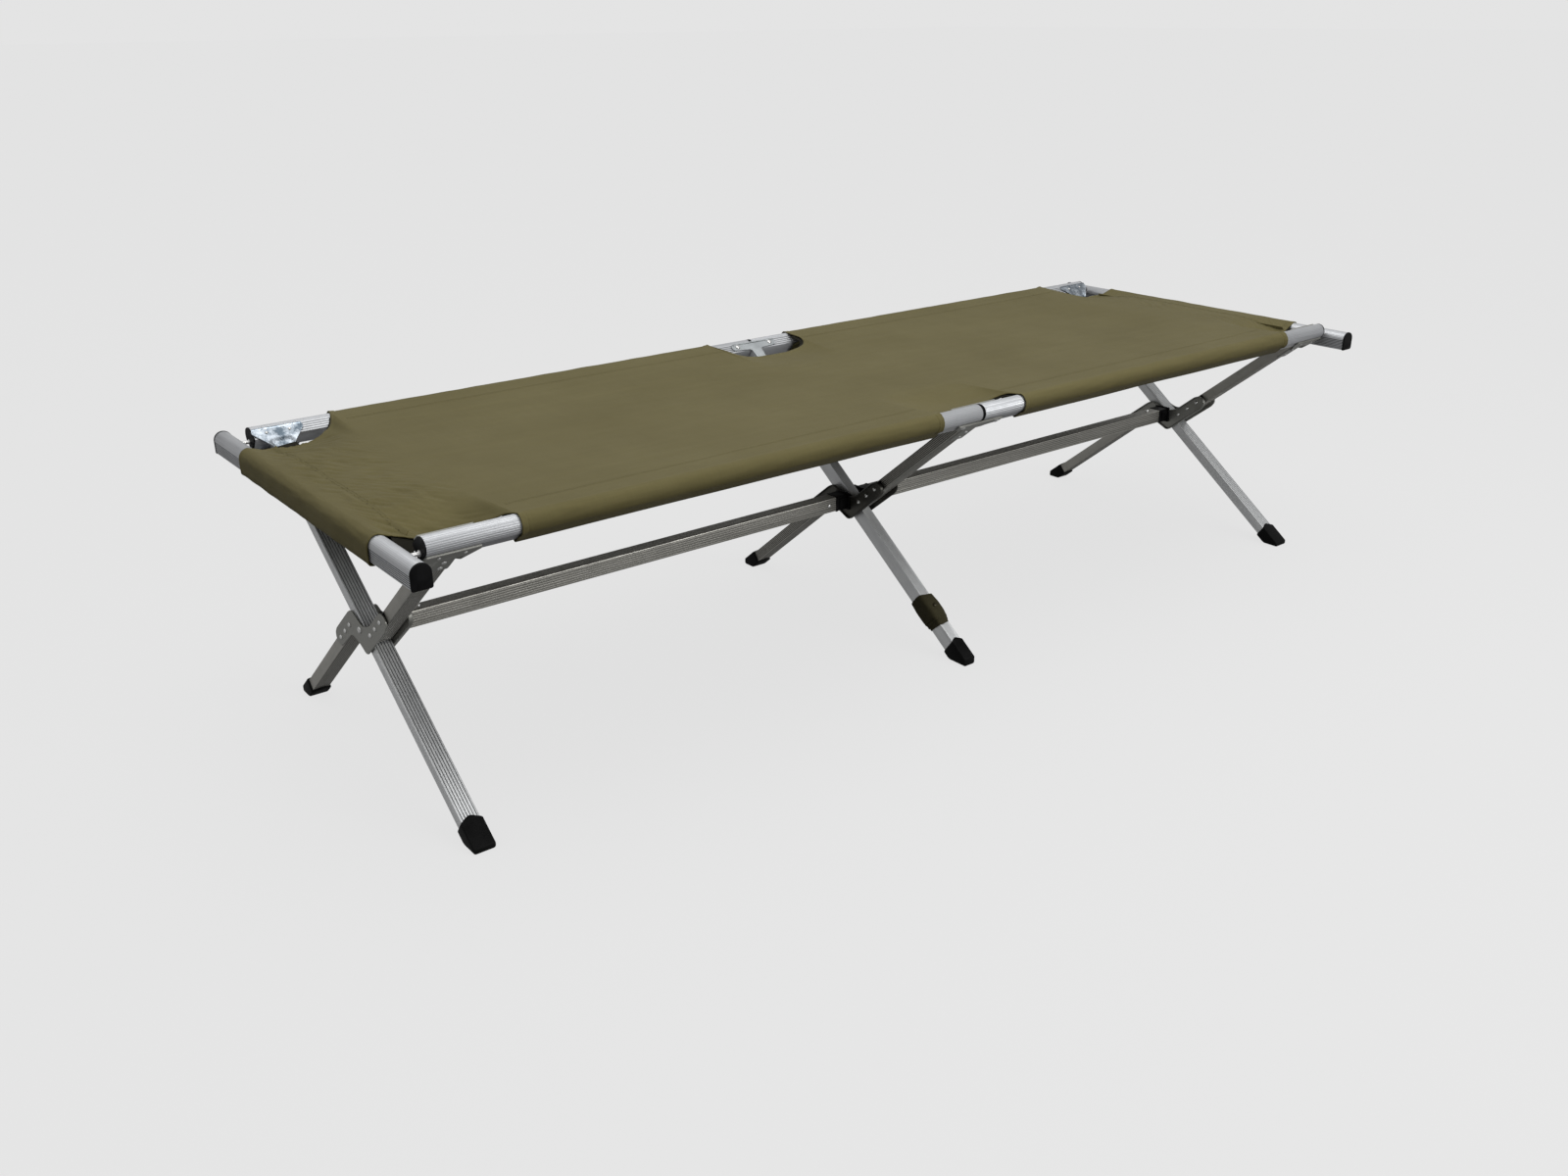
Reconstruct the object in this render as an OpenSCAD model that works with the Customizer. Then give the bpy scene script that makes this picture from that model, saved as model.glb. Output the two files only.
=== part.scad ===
// Folding cot: two ribbed aluminium side rails in halves, three scissor leg pairs,
// two drop-on end bars, a two-piece stretcher and a sleeved canvas cover.
// Frame: X along the cot, Y across it, Z up, origin at the middle of the footprint.

/* [Cot] */
// length over the end bars
cot_length = 1900; // [1700:10:2100]
// height of the scissor pivots
hub_z = 212; // [190:1:230]
// leg length from the pivot to the middle of a rail
leg_reach = 361; // [330:1:400]
// slope of the long legs
leg_angle = 36; // [34:0.5:40]
// distance of the end leg pairs from the middle
leg_x = 876; // [776:1:976]
// length of each end bar with its caps
bar_length = 690; // [660:5:740]
// height of the middle of the end bars
bar_z = 411; // [408:1:414]

/* [Tubes] */
// wide side of a leg tube
leg_w = 27; // [24:0.5:30]
// narrow side of a leg tube
leg_t = 19; // [17:0.5:20]
// width of the arched rail and bar profile
arch_w = 26; // [24:0.5:28]
// height of the arched profile
arch_h = 32; // [30:0.5:34]
// width of the stretcher tube
stretch_w = 25; // [24:0.5:27]
// wall thickness of every tube
wall = 1.5; // [1.2:0.1:2]

/* [Hubs] */
// how far the split leg steps aside at the pivot
leg_step = 20; // [20:0.5:22]
// thickness of the hub plates
plate_t = 2.5; // [2:0.5:3]
// radius of the pivot pins
pin_r = 4; // [3:0.5:5]

/* [Cover] */
// thickness of the canvas
cloth_t = 1.6; // [1.2:0.1:2]
// half length of the cut-out over the rail joint
mid_notch = 88; // [80:1:100]
// distance from the middle where the rail sleeves end
sleeve_end = 790; // [760:5:810]
// half length of the end bar sleeves
end_sleeve = 230; // [200:2:260]
// distance from the middle to the inner edge of the cut-outs
cut_y = 215; // [190:1:228]

// outward reach of a boot's blunt toe from the middle of its foot
boot_toe = 9; // [6:1:18]

/* [Hidden] */
$fn = 48;
eps = 0.01;
gap = 0.05;
rail_y = leg_reach * cos(leg_angle);
rail_z = hub_z + leg_reach * sin(leg_angle);
// the split leg runs from its step at the pivot to the rail, and the same way to the foot
step_y = leg_step * sin(leg_angle);
step_z = leg_step * cos(leg_angle);
short_angle = atan2(rail_z - hub_z + step_z, rail_y - step_y);
short_reach = norm([rail_y - step_y, rail_z - hub_z + step_z]);
bar_x = cot_length / 2 - arch_w / 2;
rail_end = bar_x - arch_w / 2 - 12;
stud_z = rail_z - 6;
stud_r = 3;
pad_y = arch_h / 2;
joint_x = 36;
link_len = 28;
plate_x = leg_w / 2 + 1.5;
link_x = plate_x + plate_t;
tube_in = link_x + link_len;
tube_out = leg_x - tube_in;
// the middle long leg is the same tube turned a quarter, so its narrow side lies along the cot
function span_x(x) = x == 0 ? leg_t : leg_w;
function span_n(x) = x == 0 ? leg_w : leg_t;
alu = [0.72, 0.73, 0.74];
dark_alu = [0.45, 0.45, 0.43];
steel = [0.55, 0.57, 0.58];
black = [0.06, 0.06, 0.06];
olive = [0.42, 0.4, 0.28];

// ---------- profiles, drawn in the plane across the tube ----------

// arched profile: flat foot at -h/2, round crown at +h/2, fine ribs when deep is not 0
function crown(w, h, deep, n) = [
    for (i = [0 : n])
        let (a = -90 + 180 * i / n, r = w / 2 - (i % 2) * deep)
        [h / 2 - w / 2 + r * cos(a), r * sin(a)]
];
function flank(w, h, deep, side, n) = [
    for (i = [0 : n])
        let (q = side > 0 ? i : n - i)
        [h / 2 - w / 2 - (h - w / 2 - 3) * q / n, side * (w / 2 - ((i % 2) == 1 ? deep : 0))]
];
function arch_points(w, h, deep) = concat(
    crown(w, h, deep * 0.6, 24),
    flank(w, h, deep, 1, 10),
    [[-h / 2, w / 2 - 2.5], [-h / 2, 2.5 - w / 2]],
    flank(w, h, deep, -1, 10)
);

function plain_points(w, h) = concat(
    crown(w, h, 0, 16),
    [[3 - h / 2, w / 2], [-h / 2, w / 2 - 2.5], [-h / 2, 2.5 - w / 2], [3 - h / 2, -w / 2]]
);

module arch(grow, deep) {
    w = arch_w + 2 * grow;
    h = arch_h + 2 * grow;
    polygon(deep > 0 ? arch_points(w, h, deep) : plain_points(w, h));
}

module arch_tube(len) {
    linear_extrude(len, center = true)
        difference() {
            arch(0, 0.5);
            arch(-wall, 0);
        }
}

// one ribbed face: square grooves cut into a straight edge
function grooves(w, y, deep, n, dir) = [
    for (i = [0 : n - 1], k = [0 : 3])
        let (pitch = w / (n + 0.7), s = -w / 2 + pitch * (i + 0.6))
        [dir * (s + (k > 1 ? pitch * 0.5 : 0)), dir * (y - (k == 1 || k == 2 ? deep : 0))]
];

module leg_profile(w, t, deep, n) {
    polygon(concat(
        [[-w / 2, t / 2 - 0.8], [0.8 - w / 2, t / 2]],
        grooves(w, t / 2, deep, n, 1),
        [[w / 2 - 0.8, t / 2], [w / 2, t / 2 - 0.8]],
        [[w / 2, 0.8 - t / 2], [w / 2 - 0.8, -t / 2]],
        grooves(w, t / 2, deep, n, -1),
        [[0.8 - w / 2, -t / 2], [-w / 2, 0.8 - t / 2]]
    ));
}

// a leg tube along local Y from y0 to y1, ribs on its two wide faces
module leg_tube(x, y0, y1) {
    translate([0, y1, 0])
        rotate([90, 0, 0])
            linear_extrude(y1 - y0)
                rotate(x == 0 ? 90 : 0)
                    difference() {
                        leg_profile(leg_w, leg_t, 0.7, 6);
                        square([leg_w - 2 * wall - 1, leg_t - 2 * wall - 1], center = true);
                    }
}

// ---------- frames ----------

// long leg: local Y runs up the leg from the pivot, local Z is the leg's upper side
module long_frame(x) {
    translate([x, 0, hub_z])
        rotate([leg_angle, 0, 0])
            children();
}

// top of a long leg, origin at the back rail's middle
module back_top(x) {
    long_frame(x)
        translate([0, leg_reach, 0])
            children();
}

// top of a split leg, origin at the front rail's middle
module front_top(x) {
    translate([x, -rail_y, rail_z])
        mirror([0, 1, 0])
            rotate([short_angle, 0, 0])
                children();
}

// foot of a split leg: local Y runs from the ground end up towards the pivot
module back_foot(x) {
    translate([x, rail_y, hub_z * 2 - rail_z])
        mirror([0, 1, 0])
            rotate([short_angle, 0, 0])
                children();
}

// hub plates are drawn in the split leg's straight line through the pivot
module hub_frame(x) {
    translate([x, 0, hub_z])
        mirror([0, 1, 0])
            rotate([leg_angle, 0, 0])
                children();
}

module along_x() {
    rotate([90, 0, 90])
        children();
}

module pin_x(r, x0, x1) {
    translate([x0, 0, 0])
        rotate([0, 90, 0])
            cylinder(r = r, h = x1 - x0);
}

module pin_z(r, z0, z1) {
    translate([0, 0, z0])
        cylinder(r = r, h = z1 - z0);
}

// places along a split leg's line for the hub rivets, from the pivot
rivet_at = [34, 60, 86];
// places down a leg from the rail's middle for the bracket rivets
stem_at = [40, 58];

// ---------- side rails ----------

module rail_holes(side) {
    for (y = [-6])
        translate([side * joint_x, y, 0])
            pin_z(3, -20, 20);
    for (x = [leg_x - 17, leg_x + 17])
        translate([side * x, -8, 0])
            pin_z(1.6, -20, 20);
}

module rail(side) {
    len = rail_end - 3;
    difference() {
        translate([side * (3 + len / 2), 0, 0])
            along_x()
                arch_tube(len);
        rail_holes(side);
    }
}

// a closing plug: a thin lid on the tube's end and a plain block inside it
module rail_plug(x, out) {
    along_x()
        translate([0, 0, out > 0 ? x : x - 2.4])
            linear_extrude(2.4)
                arch(0, 0);
    along_x()
        translate([0, 0, out > 0 ? x - 14 : x - eps])
            linear_extrude(14 + eps)
                arch(-wall - gap, 0);
}

module stud_hole(angle) {
    rotate([-angle, 0, 0])
        translate([0, 0, stud_z - rail_z])
            pin_x(stud_r, -2000, 2000);
}

module rail_plug_set(angle) {
    difference() {
        for (side = [-1, 1]) {
            rail_plug(side * rail_end, side);
            rail_plug(side * 3, -side);
        }
        difference() {
            stud_hole(angle);
            cube([1000, 100, 100], center = true);
        }
    }
}

// a stud with a shoulder, seated in the rail's end plug and reaching into the end bar
module rail_stud_pair(y) {
    for (side = [-1, 1])
        translate([0, y, stud_z]) {
            pin_x(stud_r, side > 0 ? rail_end - 12 : -bar_x + arch_w / 2 - 5,
                side > 0 ? bar_x - arch_w / 2 + 5 : 12 - rail_end);
            difference() {
                pin_x(stud_r + 2.5, side > 0 ? rail_end + 2.4 : -rail_end - 4.9,
                    side > 0 ? rail_end + 4.9 : -rail_end - 2.4);
                pin_x(stud_r - eps, -2000, 2000);
            }
        }
}

// ---------- legs ----------

// the turned middle leg is deeper, so it stops higher above the ground
function foot_gap(x) = x == 0 ? 24 : 16;

module long_leg(x) {
    difference() {
        long_frame(x)
            leg_tube(x, foot_gap(x) - leg_reach, leg_reach - pad_y - 0.5);
        long_frame(x) {
            pin_x(pin_r, -40, 40);
            for (d = stem_at)
                translate([0, leg_reach - d, 0])
                    pin_z(2.5, -30, 30);
        }
        strap_hole(x);
    }
}

module strap_hole(x) {
    if (x == 0)
        long_frame(x)
            translate([0, -252, 0])
                pin_z(1.5, 0, 40);
}

// inner end of a split leg half, measured from the rail or foot
short_in = short_reach - 23;

module short_leg_cuts() {
    for (s = rivet_at)
        translate([0, -(short_reach - s), 0])
            pin_x(2.5, -40, 40);
}

module short_leg_upper(x) {
    front_top(x)
        difference() {
            leg_tube(1, -short_in, -pad_y - 0.5);
            short_leg_cuts();
            for (d = stem_at)
                translate([0, -d, 0])
                    pin_z(2.5, -30, 30);
        }
}

module short_leg_lower(x) {
    back_foot(x)
        difference() {
            leg_tube(1, 16, short_in);
            for (s = rivet_at)
                translate([0, short_reach - s, 0])
                    pin_x(2.5, -40, 40);
        }
}

// ---------- rubber boots ----------

// a boot closes the leg's lower end, local Y up the leg, origin where the leg's line meets
// the ground
module boot_shape(across_x, across_n) {
    w = across_x + 5;
    t = across_n + 5;
    rotate([90, 0, 90])
        linear_extrude(w, center = true)
            polygon([
                [46, -t / 2 + 1], [46, t / 2 - 1], [45, t / 2], [4, t / 2],
                [-40, t / 2], [-40, -t / 2], [4, -t / 2], [10, -t / 2], [45, -t / 2]
            ]);
}

module boot_long(x) {
    difference() {
        long_frame(x)
            translate([0, -leg_reach, 0])
                difference() {
                    boot_shape(span_x(x), span_n(x));
                    translate([-span_x(x) / 2 - gap, foot_gap(x), -span_n(x) / 2 - gap])
                        cube([span_x(x) + 2 * gap, 60, span_n(x) + 2 * gap]);
                }
        translate([-1500, -1500, -200])
            cube([3000, 3000, 200]);
        boot_bevels(x, -1, span_x(x));
    }
}

module boot_short(x) {
    difference() {
        back_foot(x)
            difference() {
                boot_shape(leg_w, leg_t);
                translate([-leg_w / 2 - gap, 16, -leg_t / 2 - gap])
                    cube([leg_w + 2 * gap, 60, leg_t + 2 * gap]);
            }
        translate([-1500, -1500, -200])
            cube([3000, 3000, 200]);
        boot_bevels(x, 1, leg_w);
    }
}

// the outer toe is blunt and both flanks are cut back around the ground face
module boot_bevels(x, side, across_x) {
    translate([x - 30, side > 0 ? rail_y + boot_toe : -rail_y - boot_toe - 40, -20])
        cube([60, 40, 60]);
    for (k = [-1, 1])
        translate([x + k * (across_x / 2 + 1.5), side * rail_y, 0])
            rotate([0, k * 30, 0])
                translate([k > 0 ? 0 : -20, -60, -20])
                    cube([20, 120, 24]);
}

// ---------- hubs ----------

plate_outline = [
    [-10, 33], [12, 1], [38, -7], [90, -4], [100, -7], [106, -14], [107, -21], [103, -28],
    [93, -32], [22, -35], [-2, -36], [-8, -33], [-19, -14], [-27, -4], [-38, 5], [-90, 4],
    [-100, 7], [-106, 14], [-107, 21], [-103, 28], [-93, 32], [-22, 35]
];

module plate_blank() {
    rotate([90, 0, 90])
        linear_extrude(plate_t)
            polygon(plate_outline);
}

// out is the X side that the plate lies on
module hub_plate(x, out, rim) {
    difference() {
        hub_frame(x)
            union() {
                translate([out > 0 ? plate_x : -link_x, 0, 0])
                    plate_blank();
                if (rim)
                    hub_rim(x, out);
            }
        hub_frame(x)
            pin_x(pin_r + gap, -60, 60);
        hub_cut(x);
    }
}

// rivet holes on the two halves' own lines
module hub_cut(x) {
    front_top(x)
        for (s = rivet_at)
            translate([0, -(short_reach - s), 0])
                pin_x(2.5, -60, 60);
    back_foot(x)
        for (s = rivet_at)
            translate([0, short_reach - s, 0])
                pin_x(2.5, -60, 60);
}

// the inner plate is a pressing: its long edges are turned out as low rims
module hub_rim(x, out) {
    h = 4;
    t = 1.6;
    translate([out > 0 ? link_x - eps : -link_x - h, 0, 0])
        rotate([90, 0, 90])
            linear_extrude(h + eps)
                intersection() {
                    difference() {
                        polygon(plate_outline);
                        rim_inside(t);
                    }
                    union() {
                        translate([30, -60])
                            square([100, 80]);
                        translate([-130, -20])
                            square([100, 80]);
                    }
                }
}

module rim_inside(t) {
    polygon([[28, -8 - t], [90, -4 - t], [99, -7 - t], [104.5, -14.5], [105.4, -21],
        [101.6, -27], [93, -32 + t], [22, -35 + t], [20, -20]]);
    polygon([[-28, 8 + t - 2], [-90, 4 + t], [-99, 7 + t], [-104.5, 14.5], [-105.4, 21],
        [-101.6, 27], [-93, 32 - t], [-22, 35 - t], [-20, 20]]);
}

module hub_pin(x) {
    long_frame(x) {
        pin_x(pin_r, -link_x - 1, link_x + 1);
        for (k = [-1, 1])
            translate([k * (link_x + 0.3), 0, 0])
                rotate([0, k * 90, 0])
                    cylinder(r1 = pin_r + 2, r2 = pin_r, h = 2.2);
    }
}

module hub_washer_pair(x) {
    long_frame(x)
        for (k = [-1, 1])
            difference() {
                pin_x(9, k > 0 ? span_x(x) / 2 : -plate_x + 0.1, k > 0 ? plate_x - 0.1 : -span_x(x) / 2);
                pin_x(pin_r, -60, 60);
            }
}

// one through rivet with a domed head on each plate
module hub_rivet_one(x, y) {
    w = link_x;
    translate([0, y, 0]) {
        pin_x(2.5, -w, w);
        for (k = [-1, 1])
            intersection() {
                translate([k * (w - 2.6), 0, 0])
                    sphere(r = 5);
                pin_x(6, k > 0 ? w : -w - 2.4, k > 0 ? w + 2.4 : -w);
            }
    }
}

module hub_rivet_set(x) {
    front_top(x)
        for (s = rivet_at)
            hub_rivet_one(x, -(short_reach - s));
    back_foot(x)
        for (s = rivet_at)
            hub_rivet_one(x, short_reach - s);
}

// plastic strips that fill the space between a split leg and the plates
module hub_spacer_set(x) {
    for (k = [-1, 1]) {
        front_top(x)
            difference() {
                translate([k > 0 ? leg_w / 2 : -plate_x, -short_in, 2 - leg_t / 2])
                    cube([1.5, 82, leg_t - 4]);
                short_leg_cuts();
            }
        back_foot(x)
            difference() {
                translate([k > 0 ? leg_w / 2 : -plate_x, short_in - 82, 2 - leg_t / 2])
                    cube([1.5, 82, leg_t - 4]);
                for (s = rivet_at)
                    translate([0, short_reach - s, 0])
                        pin_x(2.5, -40, 40);
            }
    }
}

// ---------- rail brackets ----------

// a bracket blade lies on the rail's flank, steps over to the leg and ends below its rivets
module bracket_stem(across_x, across_n) {
    up = arch_w / 2;
    low = across_n / 2;
    t = 2.2;
    // a leg deeper than the rail needs the whole step above its end
    a = low > up ? -13.5 : -17;
    b = low > up ? -16 : -27;
    rotate([90, 0, 90])
        linear_extrude(across_x, center = true)
            polygon([
                [-12, up], [a, up], [b, low], [-68, low], [-68, low + t], [b - 0.6, low + t],
                [a - 0.6, up + t], [-12, up + t]
            ]);
}

module blade(points) {
    translate([0, 0, arch_w / 2])
        linear_extrude(2.2)
            polygon(points);
}

module t_plate_blank(across_x, across_n) {
    blade([[-48, -14], [-48, -2], [-45, 1], [45, 1], [48, -2], [48, -14], [14, -16], [-14, -16]]);
    bracket_stem(across_x, across_n);
    // raised border along the top edge
    translate([-44, -1, arch_w / 2 + 2.2 - eps])
        cube([88, 1.6, 0.8]);
}

module corner_plate_blank() {
    // wide top with two wings that run down beside the leg
    blade([
        [-38, -3], [-36, 0], [36, 0], [38, -3], [38, -8], [15.5, -34], [14.2, -34], [14.2, -17],
        [-14.2, -17], [-14.2, -34], [-15.5, -34], [-38, -8]
    ]);
    bracket_stem(leg_w, leg_t);
}

module joint_pin_holes() {
    for (k = [-1, 1])
        translate([k * joint_x, -6, 0])
            pin_z(3, -20, 20);
}

module corner_holes() {
    for (k = [-1, 1])
        translate([k * 17, -8, 0])
            pin_z(1.6, -20, 20);
}

module stem_holes() {
    for (d = stem_at)
        translate([0, -d, 0])
            pin_z(2.5, -30, 30);
}

module t_plate(side, across_x, across_n) {
    mirror([0, 0, side > 0 ? 0 : 1])
        difference() {
            t_plate_blank(across_x, across_n);
            joint_pin_holes();
            stem_holes();
        }
}

module corner_plates() {
    for (m = [0, 1])
        mirror([0, 0, m])
            difference() {
                corner_plate_blank();
                corner_holes();
                stem_holes();
            }
}

// a rivet through both brackets, with a domed head on each
module through_rivet(r, half) {
    pin_z(r, -half, half);
    for (m = [0, 1])
        mirror([0, 0, m])
            translate([0, 0, half])
                cylinder(r1 = r + 1.8, r2 = r + 0.6, h = 1.6);
}

module joint_pin_pair() {
    for (k = [-1, 1])
        translate([k * joint_x, -6, 0])
            through_rivet(3, arch_w / 2 + 2.2);
}

module stem_rivets(across_n) {
    for (d = stem_at)
        translate([0, -d, 0])
            through_rivet(2.5, across_n / 2 + 2.2);
}

module corner_rivets() {
    for (k = [-1, 1])
        translate([k * 17, -8, 0])
            through_rivet(1.6, arch_w / 2 + 2.2);
}

// ---------- stretcher ----------

module stretch_profile() {
    polygon([
        for (q = [0 : 3], i = [0 : 20])
            let (
                t = -9 + 18 * i / 20,
                d = stretch_w / 2 - ((i % 2) == 1 ? 0.45 : 0),
                a = 90 * q
            )
            [d * sin(a) + t * cos(a), d * cos(a) - t * sin(a)]
    ]);
}

module stretcher(side) {
    len = tube_out - tube_in;
    translate([side * (tube_in + len / 2), 0, hub_z])
        difference() {
            along_x()
                linear_extrude(len, center = true)
                    difference() {
                        stretch_profile();
                        square(stretch_w - 2 * wall - 1, center = true);
                    }
            translate([side * (len / 2 - 25), 0, 0])
                pin_z(3.2, 0, 40);
            translate([-side * (len / 2 - 15), 0, 0])
                rotate([90, 0, 0])
                    pin_z(2, -40, 40);
        }
}

// a black link: a collar against the hub plate and a spigot inside the tube
module link(dir) {
    sp = stretch_w - 2 * wall - 1.3;
    w = stretch_w + 1;
    translate([dir > 0 ? 0 : -4, -17, -15])
        cube([4, 34, 30]);
    translate([dir > 0 ? 4 - eps : -link_len, -w / 2, -w / 2])
        cube([link_len - 4 + eps, w, w]);
    translate([dir > 0 ? link_len - eps : -link_len - 45, -sp / 2, -sp / 2])
        cube([45 + eps, sp, sp]);
}

module head_pocket(dir) {
    translate([dir > 0 ? -1 : -3, 0, 0])
        pin_x(pin_r + 3, 0, 4);
}

module yoke_set() {
    for (dir = [-1, 1])
        translate([dir * link_x, 0, hub_z])
            difference() {
                link(dir);
                head_pocket(dir);
                translate([dir * (link_len + 15), 0, 0])
                    rotate([90, 0, 0])
                        pin_z(2, -40, 40);
            }
}

module socket_set() {
    for (side = [-1, 1])
        translate([side * (leg_x - link_x), 0, hub_z])
            difference() {
                link(-side);
                head_pocket(-side);
                translate([-side * (link_len + 25), 0, 0]) {
                    pin_z(3.2, 0, 40);
                    translate([0, 0, 2])
                        cylinder(r = 5, h = 7);
                }
            }
}

module yoke_pin_set() {
    for (dir = [-1, 1])
        translate([dir * (tube_in + 15), 0, hub_z])
            rotate([90, 0, 0])
                through_rivet(2, stretch_w / 2);
}

module snap_button(side) {
    translate([side * (tube_out - 25), 0, hub_z]) {
        pin_z(3.1, 6.5, stretch_w / 2 + 3.2);
        translate([0, 0, 6.2])
            cylinder(r = 4.6, h = 2);
    }
}

// ---------- end bars ----------

module end_bar(side) {
    difference() {
        translate([side * bar_x, 0, bar_z])
            rotate([90, 0, 0])
                rotate([0, 0, 90])
                    arch_tube(bar_length - 6);
        // round hole over the back stud
        translate([side * (bar_x - arch_w / 2), rail_y, stud_z])
            pin_x(stud_r + gap, -8, 8);
        // the front hole is open at the top, the way the front rail leaves when it folds
        translate([side * (bar_x - arch_w / 2), -rail_y, stud_z]) {
            pin_x(stud_r + 0.4, -7, 7);
            rotate([90 - leg_angle, 0, 0])
                translate([-7, 0, -stud_r - 0.4])
                    cube([14, 24, 2 * stud_r + 0.8]);
        }
    }
}

module end_bar_cap_pair(side) {
    for (k = [-1, 1])
        translate([side * bar_x, k * (bar_length / 2 - 3), bar_z])
            rotate([90, 0, 0])
                rotate([0, 0, 90]) {
                    translate([0, 0, k > 0 ? -3 : 0])
                        linear_extrude(3)
                            arch(0.6, 0);
                    translate([0, 0, k > 0 ? 0 : -14])
                        linear_extrude(14)
                            arch(-wall - gap, 0);
                }
}

// ---------- canvas ----------

skin = 0.3;

module sleeve_set(thick, longer) {
    len = sleeve_end - mid_notch + longer;
    mid = (sleeve_end + mid_notch) / 2;
    for (side = [-1, 1]) {
        back_top(side * mid)
            along_x()
                linear_extrude(len, center = true)
                    arch(skin + thick, 0);
        front_top(side * mid)
            along_x()
                linear_extrude(len, center = true)
                    arch(skin + thick, 0);
        translate([side * bar_x, 0, bar_z])
            rotate([90, 0, 0])
                rotate([0, 0, 90])
                    linear_extrude(2 * end_sleeve + longer, center = true)
                        arch(skin + thick, 0);
    }
}

rail_top = rail_z + (arch_h / 2 - arch_w / 2) * sin(leg_angle) + arch_w / 2 + skin;
front_top_z = rail_z + (arch_h / 2 - arch_w / 2) * sin(short_angle) + arch_w / 2 + skin;
bar_top = bar_z + arch_h / 2 + skin;

module panel_side(y0, y1, x1, x2) {
    translate([0, y1, 0])
        rotate([90, 0, 0])
            linear_extrude(y1 - y0)
                polygon([
                    [-x2, bar_top], [-x1, rail_top], [x1, rail_top], [x2, bar_top],
                    [x2, bar_top + cloth_t], [x1, rail_top + cloth_t],
                    [-x1, rail_top + cloth_t], [-x2, bar_top + cloth_t]
                ]);
}

module canvas_panel() {
    // middle field, down the slope to each end bar
    panel_side(-cut_y, cut_y, sleeve_end - 10, bar_x);
    // side fields up to the rail sleeves, open over the rail joints
    edge = rail_y - 1;
    for (k = [-1, 1], side = [-1, 1])
        translate([side > 0 ? mid_notch + 1 : 1 - sleeve_end, k > 0 ? cut_y - 1 : -edge, rail_top])
            cube([sleeve_end - mid_notch - 2, edge - cut_y + 1, cloth_t]);
}

module canvas_cover() {
    difference() {
        union() {
            translate([0, 0, -0.5])
                canvas_panel();
            sleeve_set(cloth_t, 0);
        }
        sleeve_set(0, 2);
    }
}

// ---------- strap ----------

module strap_band(grow, len) {
    translate([0, -252, 0])
        rotate([90, 0, 0])
            linear_extrude(len, center = true)
                square([span_x(0) + grow, span_n(0) + grow], center = true);
}

module storage_strap() {
    long_frame(0)
        difference() {
            union() {
                strap_band(6, 62);
                strap_band(9, 44);
            }
            strap_band(0.1, 100);
            translate([0, -252, 0])
                pin_z(1.5, 0, 40);
        }
}

module strap_rivet() {
    long_frame(0)
        translate([0, -252, 0]) {
            pin_z(1.5, span_n(0) / 2 - wall - 0.5, span_n(0) / 2 + 4.5);
            translate([0, 0, span_n(0) / 2 + 4.5])
                cylinder(r1 = 3.4, r2 = 2.2, h = 1.4);
        }
}

// ---------- nodes ----------

color(alu) back_top(0) rail(-1);  // back_rail_left
color(alu) back_top(0) rail(1);  // back_rail_right
color(alu) front_top(0) rail(-1);  // front_rail_left
color(alu) front_top(0) rail(1);  // front_rail_right
color(black) back_top(0) rail_plug_set(leg_angle);  // back_rail_plugs
color(black) front_top(0) rail_plug_set(short_angle);  // front_rail_plugs
color(steel) rail_stud_pair(rail_y);  // back_rail_studs
color(steel) rail_stud_pair(-rail_y);  // front_rail_studs
color(alu) long_leg(-leg_x);  // long_leg_left
color(alu) long_leg(0);  // long_leg_middle
color(alu) long_leg(leg_x);  // long_leg_right
color(dark_alu) short_leg_upper(-leg_x);  // short_leg_upper_left
color(dark_alu) short_leg_upper(0);  // short_leg_upper_middle
color(dark_alu) short_leg_upper(leg_x);  // short_leg_upper_right
color(dark_alu) short_leg_lower(-leg_x);  // short_leg_lower_left
color(dark_alu) short_leg_lower(0);  // short_leg_lower_middle
color(dark_alu) short_leg_lower(leg_x);  // short_leg_lower_right
color(black) boot_long(-leg_x);  // boot_front_left
color(black) boot_long(0);  // boot_front_middle
color(black) boot_long(leg_x);  // boot_front_right
color(black) boot_short(-leg_x);  // boot_back_left
color(black) boot_short(0);  // boot_back_middle
color(black) boot_short(leg_x);  // boot_back_right
color(steel) hub_plate(-leg_x, -1, false);  // hub_plate_outer_left
color(steel) hub_plate(0, 1, false);  // hub_plate_outer_middle
color(steel) hub_plate(leg_x, 1, false);  // hub_plate_outer_right
color(steel) hub_plate(-leg_x, 1, true);  // hub_plate_inner_left
color(steel) hub_plate(0, -1, true);  // hub_plate_inner_middle
color(steel) hub_plate(leg_x, -1, true);  // hub_plate_inner_right
color(steel) for (x = [-leg_x, 0, leg_x]) hub_pin(x);  // hub_pins
color(black) for (x = [-leg_x, 0, leg_x]) hub_washer_pair(x);  // hub_washers
color(steel) for (x = [-leg_x, 0, leg_x]) hub_rivet_set(x);  // hub_rivets
color(black) for (x = [-leg_x, 0, leg_x]) hub_spacer_set(x);  // hub_spacers
color(steel) back_top(0) t_plate(1, span_x(0), span_n(0));  // back_t_plate_upper
color(steel) back_top(0) t_plate(-1, span_x(0), span_n(0));  // back_t_plate_lower
color(steel) front_top(0) t_plate(1, leg_w, leg_t);  // front_t_plate_upper
color(steel) front_top(0) t_plate(-1, leg_w, leg_t);  // front_t_plate_lower
color(steel) back_top(-leg_x) corner_plates();  // back_corner_plates_left
color(steel) back_top(leg_x) corner_plates();  // back_corner_plates_right
color(steel) front_top(-leg_x) corner_plates();  // front_corner_plates_left
color(steel) front_top(leg_x) corner_plates();  // front_corner_plates_right
color(steel) back_top(0) joint_pin_pair();  // back_joint_pins
color(steel) front_top(0) joint_pin_pair();  // front_joint_pins
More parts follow.
